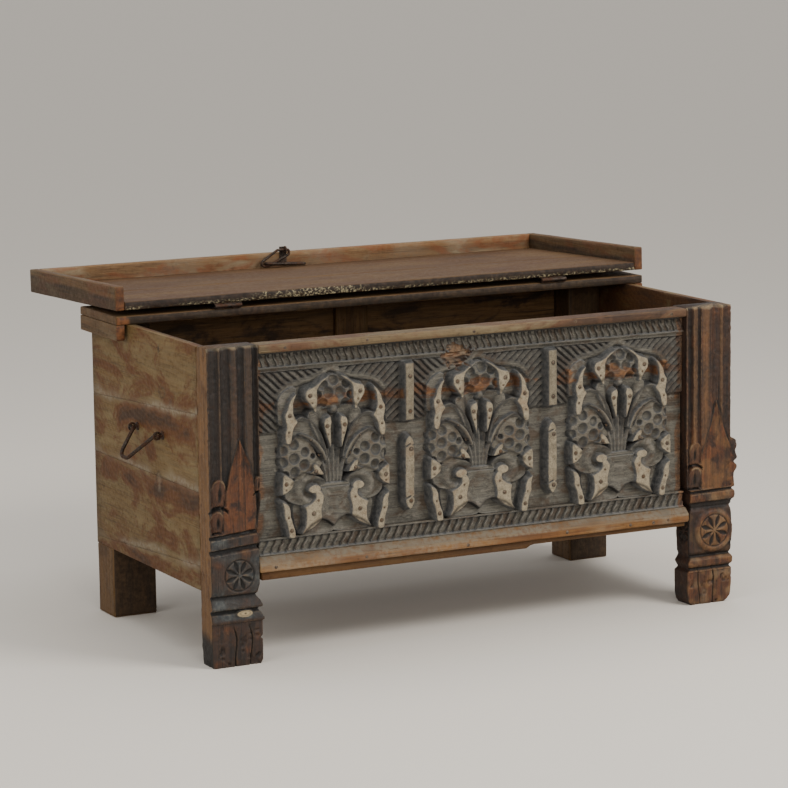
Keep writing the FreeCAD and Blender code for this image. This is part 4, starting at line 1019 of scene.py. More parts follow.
def carve_ground(c):
    """Hatching over the vases, a plain sill under the upper border and grain below."""
    bay = np.clip(np.round((c.x - BAY_SHIFT) / BAY_PITCH), BAYS[0], BAYS[-1])
    dx = c.wx - BAY_SHIFT - bay * BAY_PITCH
    arch = read_off(dx, OGEE, left=454, right=454)
    floor_line = np.where(np.abs(dx) > 119, 455, arch)
    field = ease((c.wz - floor_line) / 2.5) * ease((576 - c.wz) / 2)
    lean = np.abs(dx) * -.66 + c.wz * .75
    lean = lean + 1.5 * c.noise(22, 12)
    wave = (lean / 11.6) % 1
    cut = np.where(wave < .8, (wave / .8) ** 1.4, ease((1 - wave) / .2))
    beside = np.abs(c.x - BAY_SHIFT - (np.floor((c.x - BAY_SHIFT) / BAY_PITCH) + .5)
                    * BAY_PITCH)
    margin = np.where(np.abs(c.x) < 340, ease((beside - 14) / 3), ease((486 - np.abs(c.x)) / 3))
    c.height += field * (7 - 6 * cut * margin)
    # Darker over the hatching field, with painted shade in its grooves.
    c.dark += field * (.34 + cut ** 2 * margin * .4)
    # A narrow step at the foot of the hatching, with its painted shadow.
    foot = bell(c.wz - 452.5, 2.2) * (np.abs(dx) > 118)
    c.height -= 2.4 * foot
    c.dark += .6 * foot
    # Painted shade on the ground beside the uprights.
    shade = ease((22 - beside) / 8) * ease((c.wz - 268) / 20) * ease(
        (440 - c.wz) / 20) * (np.abs(c.x) < 340)
    c.dark += .35 * shade * (.6 + .4 * c.noise(14, 11))
    sill = ease((c.wz - 575) / 2)
    c.height = np.maximum(c.height, sill * 8)
    c.height += .35 * c.rough
    c.height += .45 * c.streaks(9, 2.2, 8) * (c.height < 3)


# The lock scar: its middle and half sizes.
SCAR = (-45, 578, 36, 27)


def scar_share(x, z):
    """How much of the torn lock scar is at a place."""
    ragged = .34 * noise_on(x, z, 0, 11, 2) + .3 * noise_on(x, z, 0, 4, 4)
    away = np.hypot((x - SCAR[0]) / SCAR[2], (z - SCAR[1]) / SCAR[3]) + ragged
    return ease((1 - away) / .2)


def bare_share(c):
    """Bare orange wood: a ragged band across the hollows, the scar and the right end."""
    ragged = c.noise(26, 6)
    patchy = c.noise(34, 16) + .5 * c.noise(11, 17)
    torn = c.streaks(7, 2.6, 18) + .6 * c.streaks(7, 1.1, 19)
    middle = 511 + 6 * ragged
    width = 13 + 8 * ragged + 5 * torn
    band = ease((width - np.abs(c.z - middle)) / 7) * ease((21 - c.height) / 3)
    band *= ease((patchy + .62) / .4)
    end = ease((c.x - 476 + 4 * ragged) / 4) * ease((patchy + .9) / .5)
    end = np.maximum(end, ease((-474 - c.x + 8 * ragged) / 5) * ease((patchy + .3) / .4))
    return np.clip(band + end * .7 + scar_share(c.x, c.z), 0, 1)


def nail_spots():
    """Places of the panel's nails: x, height above the floor, radius."""
    spots = [(bay_centre(bay) + side * px, pz, radius)
             for bay in BAYS for side in (-1, 1) for px, pz, radius in NAILS]
    return spots + [(bay_centre(bay) + off, level, 3.4) for bay in BETWEEN
                    for level, off in ((546, 2), (476, 2), (398, 3), (292, 2))]


PANEL_PITCH, CUT_SHIFT, MOTIF_HALF = 1.25, 14, 130
PANEL_NAILS = []
ENDS = [-POST_INSIDE, bay_centre(-.5), bay_centre(.5), POST_INSIDE]
for number, name in enumerate(("left", "middle", "right")):
    # The bays meet just beside the uprights, so that no upright is cut in two.
    start = ENDS[number] + (CUT_SHIFT if number else 0)
    stop = ENDS[number + 1] + (CUT_SHIFT if number < 2 else 0)
    xs = np.linspace(start, stop, int(round((stop - start) / PANEL_PITCH)) + 1)
    zs = np.linspace(PANEL_LOW, RAIL_LOW, int(round((RAIL_LOW - PANEL_LOW) / PANEL_PITCH)) + 1)
    c = Carving(xs, zs, 1)
    carve_ground(c)
    for centre in map(bay_centre, BAYS):
        if start - MOTIF_HALF < centre < stop + MOTIF_HALF:
            carve_motif(c, centre)
    for centre in map(bay_centre, BETWEEN):
        if start < centre < stop:
            carve_upright(c, centre)
    c.height += .28 * c.rough * (1 - .6 * c.top)
    scar = scar_share(c.x, c.z)
    splinter = c.streaks(5, 3, 9)
    c.height = np.where(scar > 0, c.height * (1 - scar) + scar * (3 + 3.2 * splinter), c.height)
    c.dark += .5 * scar * ease(-splinter)
    c.top = np.maximum(c.top, .34 * scar * ease(.5 + splinter))
    halo = np.zeros(c.x.shape)
    for px, pz, radius in nail_spots():
        if start + 4 < px < stop - 4:
            away = np.hypot(c.wx - px, c.wz - pz)
            i, j = np.unravel_index(np.argmin(away), away.shape)
            PANEL_NAILS.append((c.x[i, j], y_of(PANEL_GROUND) - c.height[i, j], c.z[i, j], radius))
            ring = bell(away - radius * 1.06, radius * .3)
            halo = np.maximum(halo, ring)
    c.height -= .7 * halo
    c.dark += .75 * halo
    c.height = np.clip(c.height, -3, RELIEF)
    panel = carved_board("carved_panel_%s" % name, c, PANEL_BACK,
                         {"bare": bare_share(c), "piece": 0.0})
    if number == 0:
        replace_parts(panel, "carved_front_panel")


# Rope borders: a channelled strip each, and the strands that lie in its channel.

def border_strip(name, low, high, fillet, pitch, lean):
    """A strip of slanting facets between two fillets, each facet deep on its right."""
    xs = np.linspace(-POST_INSIDE, POST_INSIDE, 880)
    zs = np.linspace(low, high, 25)
    c = Carving(xs, zs, 4)
    up = (c.z - low) / (high - low) * 2 - 1
    phase = ((c.x - facet_shift(up, lean, high - low)) / pitch + 1000) % 1
    edge = np.minimum(c.z - low, high - c.z)
    inside = ease((edge - fillet) / 1.8)
    c.height = 13.5 - inside * (2.5 + (5.5 if lean < 0 else 4) * phase) + .35 * c.rough
    # Darker inside the fillets, with painted shade on the deep side of each facet.
    c.dark += inside * (.1 + (.55 if lean < 0 else .3) * ease((phase - .55) / .4))
    scar = scar_share(c.x, c.z)
    c.height = c.height * (1 - scar) + scar * (5 + 1.5 * c.rough)
    c.height = np.clip(c.height, 0, 14)
    end = ease((c.x - 476) / 4) * .8
    # Painted shadow of the rail over the upper border, darkest at its top.
    if lean < 0:
        c.dark += .2 + .45 * ease((c.z - 603) / 6)
    c.dark *= 1 - .6 * scar
    c.top = np.maximum(c.top, .25 * scar)
    extra = {"bare": np.clip(scar + end, 0, 1), "piece": .4}
    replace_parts(carved_board(name, c, PANEL_GROUND + .05, extra), name)


def facet_shift(up, lean, tall):
    """How far a facet's edge has moved along the strip at a share of its height."""
    return tall / 2 * math.tan(math.radians(lean)) * up + 1.5 * np.sin(3 * up) * np.sign(lean)


UPPER_LOW, UPPER_PITCH, UPPER_LEAN = 584, 15.5, -13
LOWER_TOP, LOWER_PITCH, LOWER_LEAN = 246, 17, 20
border_strip("front_upper_border", UPPER_LOW, RAIL_LOW, 3.4, UPPER_PITCH, UPPER_LEAN)
border_strip("front_lower_border", SILL_TOP, LOWER_TOP, 3.0, LOWER_PITCH, LOWER_LEAN)


def scatter_tree(name, inputs, make_shape):
    """A tree that sets one shape on every point, turned and sized by what the points carry."""
    tree = bpy.data.node_groups.new(name, "GeometryNodeTree")
    tree.interface.new_socket("Geometry", in_out="INPUT", socket_type="NodeSocketGeometry")
    for label, value in inputs.items():
        socket = tree.interface.new_socket(label, in_out="INPUT", socket_type="NodeSocketFloat")
        socket.default_value = value
    tree.interface.new_socket("Finish", in_out="INPUT", socket_type="NodeSocketMaterial")
    tree.interface.new_socket("Geometry", in_out="OUTPUT", socket_type="NodeSocketGeometry")
    graph = Graph(tree)
    entry = graph.add("NodeGroupInput").outputs
    turn, size = [graph.add("GeometryNodeInputNamedAttribute", {"Name": key},
                            data_type="FLOAT_VECTOR").outputs["Attribute"]
                  for key in ("turn", "size")]
    spin = graph.add("FunctionNodeEulerToRotation", {0: turn})
    lay = graph.add("GeometryNodeInstanceOnPoints", {
        "Points": entry["Geometry"], "Instance": make_shape(graph, entry),
        "Rotation": spin.outputs[0], "Scale": size})
    real = graph.add("GeometryNodeRealizeInstances", {0: lay.outputs["Instances"]})
    cover = graph.add("GeometryNodeSetMaterial", {"Geometry": real.outputs[0],
                                                  "Material": entry["Finish"]})
    graph.add("NodeGroupOutput", {0: cover.outputs[0]})
    return tree


def head_shape(graph, entry):
    """A ball of radius 1, to be flattened to a low dome at each point."""
    ball = graph.add("GeometryNodeMeshUVSphere", {"Segments": 20, "Rings": 10, "Radius": 1.0})
    return graph.add("GeometryNodeSetShadeSmooth", {"Geometry": ball.outputs["Mesh"]}).outputs[0]


def strand_shape(graph, entry):
    """One strand of the rope: a spindle bent into a shallow S by the tree's own input."""
    place = graph.add("GeometryNodeInputPosition").outputs[0]
    parts = graph.add("ShaderNodeSeparateXYZ", {0: place}).outputs
    # The front crest of each strand carries wear, which also paints a highlight along it.
    crest = graph.add("ShaderNodeMapRange", {"Value": parts[1], "From Min": -.9,
                                             "From Max": -.99})
    store = graph.add("GeometryNodeStoreNamedAttribute", {
        "Geometry": head_shape(graph, entry), "Name": "wear", "Value": crest.outputs[0]})
    bend = graph.add("ShaderNodeMath", {0: parts[2], 1: 3.0}, operation="MULTIPLY").outputs[0]
    bend = graph.add("ShaderNodeMath", {0: bend}, operation="SINE").outputs[0]
    bend = graph.add("ShaderNodeMath", {0: bend, 1: entry["Bend"]}, operation="MULTIPLY")
    shift = graph.add("ShaderNodeCombineXYZ", {0: bend.outputs[0]})
    return graph.add("GeometryNodeSetPosition", {"Geometry": store.outputs[0],
                                                 "Offset": shift.outputs[0]}).outputs[0]


HEAD_TREE = scatter_tree("nail_heads", {}, head_shape)
STRAND_TREE = scatter_tree("rope_strands", {"Bend": .25}, strand_shape)


def scattered(name, tree, spots, turns, sizes, material, body, inputs=None, layers=None):
    """A piece made by a tree from points, turned into a plain mesh."""
    mesh = bpy.data.meshes.new(name)
    mesh.from_pydata((np.array(spots) * MM).tolist(), [], [])
    for key, values in (("turn", turns), ("size", np.array(sizes) * MM)):
        layer = mesh.attributes.new(key, "FLOAT_VECTOR", "POINT")
        layer.data.foreach_set("vector", np.array(values, dtype=np.float32).ravel())
    for key, values in (layers or {}).items():
        carry(mesh, key, values, len(spots))
    thing = placed(name, mesh)
    modifier = thing.modifiers.new("scatter", "NODES")
    modifier.node_group = tree
    names = {item.name: item.identifier for item in tree.interface.items_tree
             if item.in_out == "INPUT"}
    for key, value in {"Finish": material, **(inputs or {})}.items():
        modifier[names[key]] = value
    graph = bpy.context.evaluated_depsgraph_get()
    plain = bpy.data.meshes.new_from_object(thing.evaluated_get(graph))
    thing.modifiers.clear()
    thing.data = plain
    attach(thing, body)
    return thing


def rope(name, low, high, pitch, lean, seed):
    """The thin ridges on a border's facets, left out where the lock was torn away."""
    chance = np.random.default_rng(seed)
    spots, turns, sizes = [], [], []
    middle = (low + high) / 2
    for count in range(int(-POST_INSIDE / pitch) + 1, int(POST_INSIDE / pitch)):
        x = count * pitch + 1.2
        if scar_share(np.array([x]), np.array([middle]))[0] < .4:
            spots.append((x, y_of(18.6 + chance.normal(0, .4)), middle + chance.normal(0, .5)))
            turns.append((0, math.radians(lean + chance.normal(0, 1.2)), 0))
            sizes.append((2.5 + chance.normal(0, .3), 4.0, (high - low) / 2 - 3.4))
    # The upper strands are darker with the rail's painted shadow.
    return scattered(name, STRAND_TREE, spots, turns, sizes, PANEL, "carcass",
                     {"Bend": .6 * math.copysign(1, lean)},
                     {"steep": .3, "hollow": .38 if lean < 0 else .1, "piece": 1.0})


rope("upper_rope_strands", UPPER_LOW, 617, UPPER_PITCH, UPPER_LEAN, 5)
rope("lower_rope_strands", SILL_TOP, LOWER_TOP, LOWER_PITCH, LOWER_LEAN, 6)


# Front posts. "across" is measured from the post's outer face towards the panel.

# flutes: middle, half width, depth. ribs: middle, half width. leaf: middle line, foot and its
# half widths at heights. lobes: middle, low and high end, half width. depth, inner, outer: how
# far the wood is cut back at heights, in front and at both sides. rise: height and amount of
# the tilt of the turned rings. rosette: middle, height, radius. painted: from and to a height.
POSTS = {
    "front_left_post": {
        "side": -1,
        "flutes": [(12.5, 11, 7.5), (37.5, 11, 7.5), (70, 8.5, 7), (101.5, 7, 10)],
        "ribs": [(25, 2.5), (55, 5), (87, 7)],
        "leaf": (67, 266, [(266, 60), (290, 44), (320, 35), (350, 31), (400, 20), (430, 9),
                           (453, 0)]),
        "leaf_right": 33,
        "lobes": [(20, 321, 378, 17), (16, 270, 315, 15), (105, 345, 376, 9)],
        "depth": [(0, 4), (10, 3), (88, 2.5), (89.5, 0), (93, 0), (106, 4), (109, 9), (113, 9),
                  (116, .5), (120, 0), (138, 7), (141, 9), (146, 2.5), (156, .8), (228, .8),
                  (233, 9), (238, 9), (240.5, 1.4), (259, 1.4), (262, 9), (266, 9), (269, 1),
                  (635, 0)],
        "rise": (233, 8),
        "inner": [(0, 5.5), (8, 1.2), (30, 1), (50, 1.5), (53, 7), (57, 1.5), (88, 1.2),
                  (90, -3.8), (105, 5.5), (111, 9), (117, .2), (128, 5), (138.5, 13.8), (146, 10.5),
                  (162, 6.2), (229, 6.2), (236, 10), (241, 5.1), (259, 5.1), (263, 9), (268, 5.1),
                  (330, 0.3), (635, 0)],
        "outer": [(0, 2), (10, 0), (635, 0)],
        "rosette": (60, 182, 31.5), "boss": False, "side_rosette": False, "gold": 1.0,
        "painted": (93, 262)},
    "front_right_post": {
        "side": 1,
        "flutes": [(12, 9, 4), (36, 11, 5.5), (78, 5, 6), (99, 7, 9)],
        "ribs": [(24, 4), (62, 9), (88, 5)],
        "leaf": (34, 246, [(246, 64), (300, 47), (330, 35), (350, 27), (375, 18), (400, 11),
                           (420, 4), (434, 0)]),
        "leaf_right": 70,
        "lobes": [(86, 301, 350, 15), (86, 250, 297, 16)],
        "depth": [(0, 5), (6, 3), (60, 2.5), (70, 3), (72.5, 1), (75.5, 8), (79.5, 8), (82, 3),
                  (86, .8), (96, .8), (101, 5), (104, 7), (107, 4), (113, 1), (200, .8),
                  (207, 5), (213, 10), (218, 9), (222, 3), (229, 1.2), (238, 1.4), (240.5, 8),
                  (244, 8), (246.5, 1), (635, 0)],
        "rise": (240, -2),
        "inner": [(0, 13.4), (8, 8), (19, 4.6), (71, 3.6), (76, 12.3), (90, 4.6), (103, 13.4),
                  (112, 10), (152, 7.9), (197, 10.2), (209, 16.2), (220, 10.2), (237, 10.2),
                  (243, 14.5), (250, 6.3), (330, .3), (635, 0)],
        "outer": [(0, 13.4), (5, 7.5), (14, -.3), (38, -3.7), (71, -3.7), (76, -.9), (84, -5.5),
                  (96, -5.5), (103, -1.8), (112, -4.2), (130, -5.7), (152, -6.2), (180, -5.9),
                  (191, -5.3), (206, -1.5), (214, -7), (222, -11.3), (230, -11.2), (237, -10.2),
                  (242, -6.5), (247, -13), (258, -11), (267, -9.8), (277, -10.9), (285, -17),
                  (292, -16.3), (300, -8.8), (305, -13.5), (308, -17.8), (317, -14), (325, -12),
                  (331, -15.5), (336, -16.2), (346, -15.3), (351.5, -5), (352.5, 0), (635, 0)],
        "rosette": (40, 157, 34.5), "boss": True, "side_rosette": True, "gold": 0.0,
        "painted": (0, 0)},
}


def rosette(across, up, radius):
    """Depth of a rosette: a ring groove and eight hollow petals."""
    away = np.hypot(across, up)
    angle = np.arctan2(up, across) + .06
    ring = bell(away - radius, 1.8) * 2.6
    turn = (angle / (2 * math.pi) * 8) % 1 - .5
    share = np.clip(away / radius, 0, 1)
    half = .42 * np.sin(np.clip((share - .1) / .86, 0, 1) * math.pi) ** .7
    petal = np.clip(1 - np.abs(turn) / np.maximum(half, 1e-3), 0, 1) * (share < .95)
    return ring + 3.4 * ease(petal * 1.5) + .6 * (away < radius)


def lobe(across, z, plan):
    """A curled lobe beside the leaf: its depth, where it lies, the painted highlight on its lip and
    the painted shade in its fold and under it.
    """
    centre, low, high, half = plan
    up = (z - low) / (high - low)
    dx = (across - centre) / half
    away = np.hypot(dx, np.clip((up - .62) / .38, 0, None))
    inside = ease((1 - away) / .12) * ease((up + .02) / .06)
    depth = 1 + 5.5 * dx ** 2 + 3.5 * ease((.5 - up) / .5)
    lip = bell(away - .84, .1) * ease((up - .55) / .2)
    fold = bell(dx - .12, .2) * bell(up - .42, .28)
    under = bell(up + .02 + .12 * dx ** 2, .055) * (np.abs(dx) < 1.25)
    depth = depth - 1.0 * lip + 5 * fold
    return depth, inside, lip * inside, np.maximum(fold * inside * .9, under), under


def post_front(plan, across, z):
    """Depth of a post's carved front and what its finish needs to know."""
    def noise(size, seed):
        return noise_on(across, z, 40 * plan["side"], size, seed)

    centre, low, shape = plan["leaf"]
    half = read_off(z, shape, left=90, right=-9)
    off = across - centre
    half = np.where(off > 0, np.minimum(half, plan["leaf_right"]), half)
    half = half + .9 * noise(16, 9)
    upper = ease((z - low) / 2)
    inside = half - np.abs(off)
    leaf = ease((inside + .5) / 2) * upper
    flute = np.zeros(z.shape)
    for middle, reach, deep in plan["flutes"]:
        middle = middle + .8 * noise(60, 10)
        flute += deep * np.clip(1 - ((across - middle) / reach) ** 2, 0, 1) ** .7
    golden = np.zeros(z.shape)
    for middle, reach in plan["ribs"]:
        golden = np.maximum(golden, ease((reach - np.abs(across - middle)) / 2))
    flute = flute + 1.2 + .7 * noise(7, 11) * (across > 0)
    # The leaf is a blade with a middle ridge, hollowed on both sides and worn uneven.
    blade = np.clip(np.abs(off) / np.maximum(half, 5), 0, 1)
    surface = 1.0 + 3.6 * np.sin(blade * math.pi * .9) ** 1.2
    surface = surface + 1.1 * noise(20, 12) + 1.0 * bell(off - 9, 1.6)
    carved = flute * (1 - leaf) + surface * leaf
    # shade holds painted shade beside the leaf, in the lobes, ring cuts, rosette, boss corners and
    # splits, and also the knot's own dark ring.
    shade = .75 * bell(inside + 1.8, 2.2) * upper
    pale = np.zeros(z.shape)
    for spot in plan["lobes"]:
        depth, share, lip, dark, under = lobe(across, z, spot)
        carved = carved * (1 - share) + depth * share + 7.5 * under * upper
        shade = np.maximum(shade * (1 - share), dark * upper)
        leaf = np.maximum(leaf * (1 - share), share * .55)
        # The pale lip is a painted highlight on the lobe's upper arch.
        pale = np.maximum(pale, .35 * lip * ease(.5 + noise(9, 13)))
    middle, rise = plan["rise"]
    tilt = rise * (across / POST_WIDTH - .5) * ease((z - middle + 40) / 30) * ease(
        (middle + 60 - z) / 30)
    turned = read_off(z - tilt, plan["depth"])
    front = carved * upper + turned
    shade = np.maximum(shade, ease((turned - 4.5) / 3) * .95)
    ru, rz, radius = plan["rosette"]
    away = np.hypot(across - ru, z - rz)
    flower = rosette(across - ru, z - rz, radius)
    front = front + flower * (away < radius + 6)
    shade = np.maximum(shade, .6 * ease((flower - 1) / 2.5))
    block = ease((z - rz + 58) / 6) * ease((rz + 56 - z) / 6)
    if plan["boss"]:
        corner = 5.5 * ease((away - radius - 5) / 12) * block
        front = front + corner
        shade = np.maximum(shade, .6 * ease((corner - 1) / 4))
    front = front + .6 * noise(24, 14) * (z < low) + .35 * noise(5, 7) + .6
    # Broken wood: more of it at the foot and along the arrises.
    chips = np.clip(noise(15, 2) + .6 * noise(6, 4) - .25, 0, 1)
    foot = ease((92 - z) / 30)
    arris = ease((8 - np.minimum(across, POST_WIDTH - across)) / 8)
    front = front + chips * (.7 + 4.5 * foot + 3.2 * arris)
    split = bell(noise(40, 15) * 9 + across - 45, 1.3) * foot
    split = np.maximum(split, bell(noise(50, 16) * 9 + across - 78, 1.1) * foot)
    front = front + 4 * split
    shade = np.maximum(shade, .85 * split)
    if not plan["boss"]:
        knot = np.hypot((across - 70 + 2 * noise(9, 3)) / 18, (z - 105) / 7.5)
        pale = np.maximum(pale, ease((1 - knot) / .2))
        shade = shade * (1 - ease((1 - knot) / .2))
        ring = bell(knot - .62, .12) * .5 + ease((.25 - knot) / .2)
        shade = np.maximum(shade, .8 * ring)
        front = np.where(knot < 1.15, np.minimum(front, 2.2 + 1.2 * ring), front)
    low_paint, high_paint = plan["painted"]
    painted = ease((z - low_paint) / 3) * ease((high_paint - z) / 3) * (high_paint > 0)
    painted = painted * ease(.75 + noise(26, 17))
    warm = leaf + (1 - upper) * (1 - painted) * (.8 if plan["boss"] else .15 + .6 * ease(
        noise(22, 18)))
    if plan["boss"]:
        warm = np.maximum(warm, (.25 + .45 * ease(.3 + noise(34, 21))) * upper)
        dusty = ease((noise(20, 22) + .1) / .8) * (1 - upper) * (1 - ease(shade))
        pale = np.maximum(pale, .14 * dusty)
    top = ease((z - TOP + 5 + 3 * noise(9, 19)) / 3)
    front = front + top * (1.5 + 2.2 * ease(.4 + noise(14, 20)))
    golden = (.34 if plan["boss"] else .14) * golden * (1 - leaf) * upper
    if plan["boss"]:
        golden = golden + (.55 * ease((noise(15, 14) + .1) / .5) * (1 - upper)
                           + .5 * ease((noise(24, 15) + .1) / .5) * leaf * upper)
    return front, {"hollow": shade, "leaf": warm, "painted": painted, "golden": golden,
                   "pale": np.maximum(pale, .35 * top)}


ROW_PITCH, FRONT_COLUMNS, SIDE_COLUMNS, BACK_COLUMNS = 1.6, 97, 22, 12


def carved_post(name, plan):
    """A post from rings of points: up its outer side, over its carved front and down its back."""
    rows = np.arange(0, TOP + .01, ROW_PITCH)
    rows[-1] = TOP
    outer, inner = [np.convolve(np.pad(read_off(rows, plan[key]), 1, mode="edge"),
                                (.25, .5, .25), "valid") for key in ("outer", "inner")]
    width = POST_WIDTH - inner - outer
    share = np.linspace(0, 1, FRONT_COLUMNS)
    across = outer[:, None] + width[:, None] * share
    z = np.repeat(rows[:, None], len(share), axis=1)
    front, layers = post_front(plan, across, z)
    edge = np.minimum(across - outer[:, None], (POST_WIDTH - inner)[:, None] - across)
    front += 2.6 * (1 - np.sqrt(np.clip(1 - (1 - np.minimum(edge / 3.4, 1)) ** 2, 0, 1)))
    front = np.clip(front, 0, 18)
    near, wide = [sum(np.roll(front, (a, b), (0, 1)) for a in (-up, 0, up)
                      for b in (-along, 0, along)) / 9 for up, along in ((1, 1), (4, 5))]
    # Painted shade where the front is cut deeper than around it.
    layers["hollow"] = np.clip(layers["hollow"] + np.clip((front - wide) / 5, 0, .6), 0, 1)
    layers["wear"] = np.clip((near - front) / .9, 0, 1) * (.8 if plan["boss"] else .55) * (
        front < 7)
    blank = {key: np.zeros(rows.size) for key in layers}
    columns = []
    middle = plan["rosette"][1]
    for part in np.linspace(1, 0, SIDE_COLUMNS)[:-1]:
        y = front[:, 0] + (POST_DEPTH - front[:, 0]) * part
        spots = np.stack((np.full(rows.size, 250.0 * plan["side"]), y, rows), axis=1)
        dent = .6 + .6 * wander(spots, 9, 3) + 1.2 * np.clip(wander(spots, 16, 5) - .2, 0, 1) * (
            1 + 2 * ease((90 - rows) / 40))
        grime = ease((70 - rows + 25 * wander(spots, 40, 6)) / 40)
        soot = .5 * grime + .12 * ease(wander(spots, 30, 7))
        columns.append((outer + dent, y, {**blank, "golden": plan["gold"] * (1 - grime),
                                          "leaf": .8 * (1 - plan["gold"]) + blank["leaf"],
                                          "hollow": soot}))
    for i in range(len(share)):
        columns.append((across[:, i], front[:, i], {key: field[:, i]
                                                    for key, field in layers.items()}))
    for part in np.linspace(0, 1, SIDE_COLUMNS)[1:]:
        y = front[:, -1] + (POST_DEPTH - front[:, -1]) * part
        spots = np.stack((np.full(rows.size, 350.0 * plan["side"]), y, rows), axis=1)
        dent = .6 + .6 * wander(spots, 9, 3)
        flower = rosette(y - 30, rows - middle, 22) * (
            np.hypot(y - 30, rows - middle) < 27) * plan["side_rosette"]
        # Darker on the inner side, with painted shade in the cuts of its rosette.
        columns.append((POST_WIDTH - inner - dent - flower, y,
                        {**blank, "leaf": .35 + blank["leaf"], "hollow": .25 + .15 * flower}))
    for part in np.linspace(0, 1, BACK_COLUMNS)[1:-1]:
        x = (POST_WIDTH - inner) * (1 - part) + outer * part
        columns.append((x, np.full(rows.size, float(POST_DEPTH)),
                        {**blank, "leaf": .3 + blank["leaf"], "hollow": .2 + blank["hollow"]}))
    side = plan["side"]
    x = side * (HALF_WIDTH - np.stack([column[0] for column in columns], axis=1))
    y = y_of(np.stack([column[1] for column in columns], axis=1))
    points = np.stack((x, y, np.repeat(rows[:, None], len(columns), axis=1)), axis=-1)
    index = np.arange(x.size).reshape(x.shape)
    faces = ring_quads(index).tolist() + [index[-1].tolist(), index[0].tolist()[::-1]]
    if side > 0:
        faces = [face[::-1] for face in faces]
    fields = {key: np.stack([column[2][key] for column in columns], axis=1).ravel()
              for key in layers}
    fields["piece"] = .9 + side * .3
    post = make_object(name + "_carved", points.reshape(-1, 3), faces, POST, "carcass",
                       fields)
    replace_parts(post, name)


for name, plan in POSTS.items():
    carved_post(name, plan)


# Ironwork.

ROD_STEP, ARC_STEP, DISC_SIDES = 4, 1.2, 22
EYE_PLAY, EYE_WIRE = .6, 2.4


def rounded_route(corners, radii, closed):
    """Points along straight runs and the arcs that join them."""
    corners = [Vector(corner) for corner in corners]
    count = len(corners)
    points = []
    for i, corner in enumerate(corners):
        if not closed and i in (0, count - 1):
            points.append(corner)
            continue
        before = (corners[i - 1] - corner).normalized()
        after = (corners[(i + 1) % count] - corner).normalized()
        half = before.angle(after) / 2
        setback = radii[i] / math.tan(half)
        bisector = (before + after).normalized()
        centre = corner + bisector * (radii[i] / math.sin(half))
        start = corner + before * setback - centre
        stop = corner + after * setback - centre
        turn = start.angle(stop)
        pieces = max(3, int(turn * radii[i] / ARC_STEP))
        for j in range(pieces + 1):
            points.append(centre + start.slerp(stop, j / pieces).normalized() * radii[i])
    full = []
    for i, point in enumerate(points):
        full.append(point)
        after = points[(i + 1) % len(points)] if closed or i < len(points) - 1 else None
        if after is not None:
            gap = (after - point).length
            for j in range(1, int(gap / ROD_STEP)):
                full.append(point.lerp(after, j / int(gap / ROD_STEP)))
    return np.array([list(p) for p in full])


def swept(path, radius, closed, segments, rough, seed):
    """A forged rod along a path: points and faces."""
    count = len(path)
    run = np.roll(path, -1, axis=0) - np.roll(path, 1, axis=0) if closed \
        else np.gradient(path, axis=0)
    run = unit(run)
    normal = np.cross(run[0], [.123, .456, .88])
    normal /= np.linalg.norm(normal)
    angles = np.linspace(0, 2 * math.pi, segments, endpoint=False)
    rings = []
    for i in range(count):
        normal = normal - run[i] * np.dot(normal, run[i])
        normal /= np.linalg.norm(normal)
        side = np.cross(run[i], normal)
        rings.append(path[i] + radius * (np.cos(angles)[:, None] * normal
                                         + np.sin(angles)[:, None] * side))
    points = np.concatenate(rings)
    centres = np.repeat(path, segments, axis=0)
    dent = 1 - rough * (.5 + .5 * wander(points, 7, seed))
    points = centres + (points - centres) * dent[:, None]
    index = np.arange(count * segments).reshape(count, segments)
    quads = ring_quads(index)
    if closed:
        # Match the last ring to the first where the frame has turned on the way round.
        first, last = points[index[0]], points[index[-1]]
        best = min(range(segments),
                   key=lambda s: np.linalg.norm(np.roll(first, -s, axis=0) - last))
        low = np.roll(index[0], -best)
        seam = np.stack((index[-1], np.roll(index[-1], -1), np.roll(low, -1), low), axis=-1)
        faces = np.concatenate((quads, seam))[:, ::-1].tolist()
    else:
        faces = quads[:, ::-1].tolist()
        faces += [index[0].tolist(), index[-1].tolist()[::-1]]
    return points, faces


def merged(parts):
    """Several meshes of points and faces as one."""
    points, faces, start = [], [], 0
    for part_points, part_faces in parts:
        points.append(part_points)
        faces += [[start + v for v in face] for face in part_faces]
        start += len(part_points)
    return np.concatenate(points), faces


def turned_disc(centre, axis, profile):
    """A shape turned about an axis from pairs of radius and height along the axis."""
    axis = np.array(axis, dtype=np.float64)
    one = np.cross(axis, [.3, .7, .2])
    one /= np.linalg.norm(one)
    two = np.cross(axis, one)
    angles = np.linspace(0, 2 * math.pi, DISC_SIDES, endpoint=False)
    circle = np.cos(angles)[:, None] * one + np.sin(angles)[:, None] * two
    points = [np.array(centre) + circle * r + axis * h for r, h in profile]
    index = np.arange(len(profile) * DISC_SIDES).reshape(len(profile), DISC_SIDES)
    faces = ring_quads(index).tolist() + [index[0].tolist()[::-1], index[-1].tolist()]
    return np.concatenate(points), faces


def ring_round(centre, axis, rod):
    """An eye of wire round a rod."""
    axis = Vector(axis)
    one = axis.orthogonal().normalized()
    two = axis.cross(one)
    major = rod + EYE_PLAY + EYE_WIRE
    path = [list(Vector(centre) + (one * math.cos(t) + two * math.sin(t)) * major)
            for t in np.linspace(0, 2 * math.pi, 36, endpoint=False)]
    return swept(np.array(path), EYE_WIRE, True, 12, .1, 3)


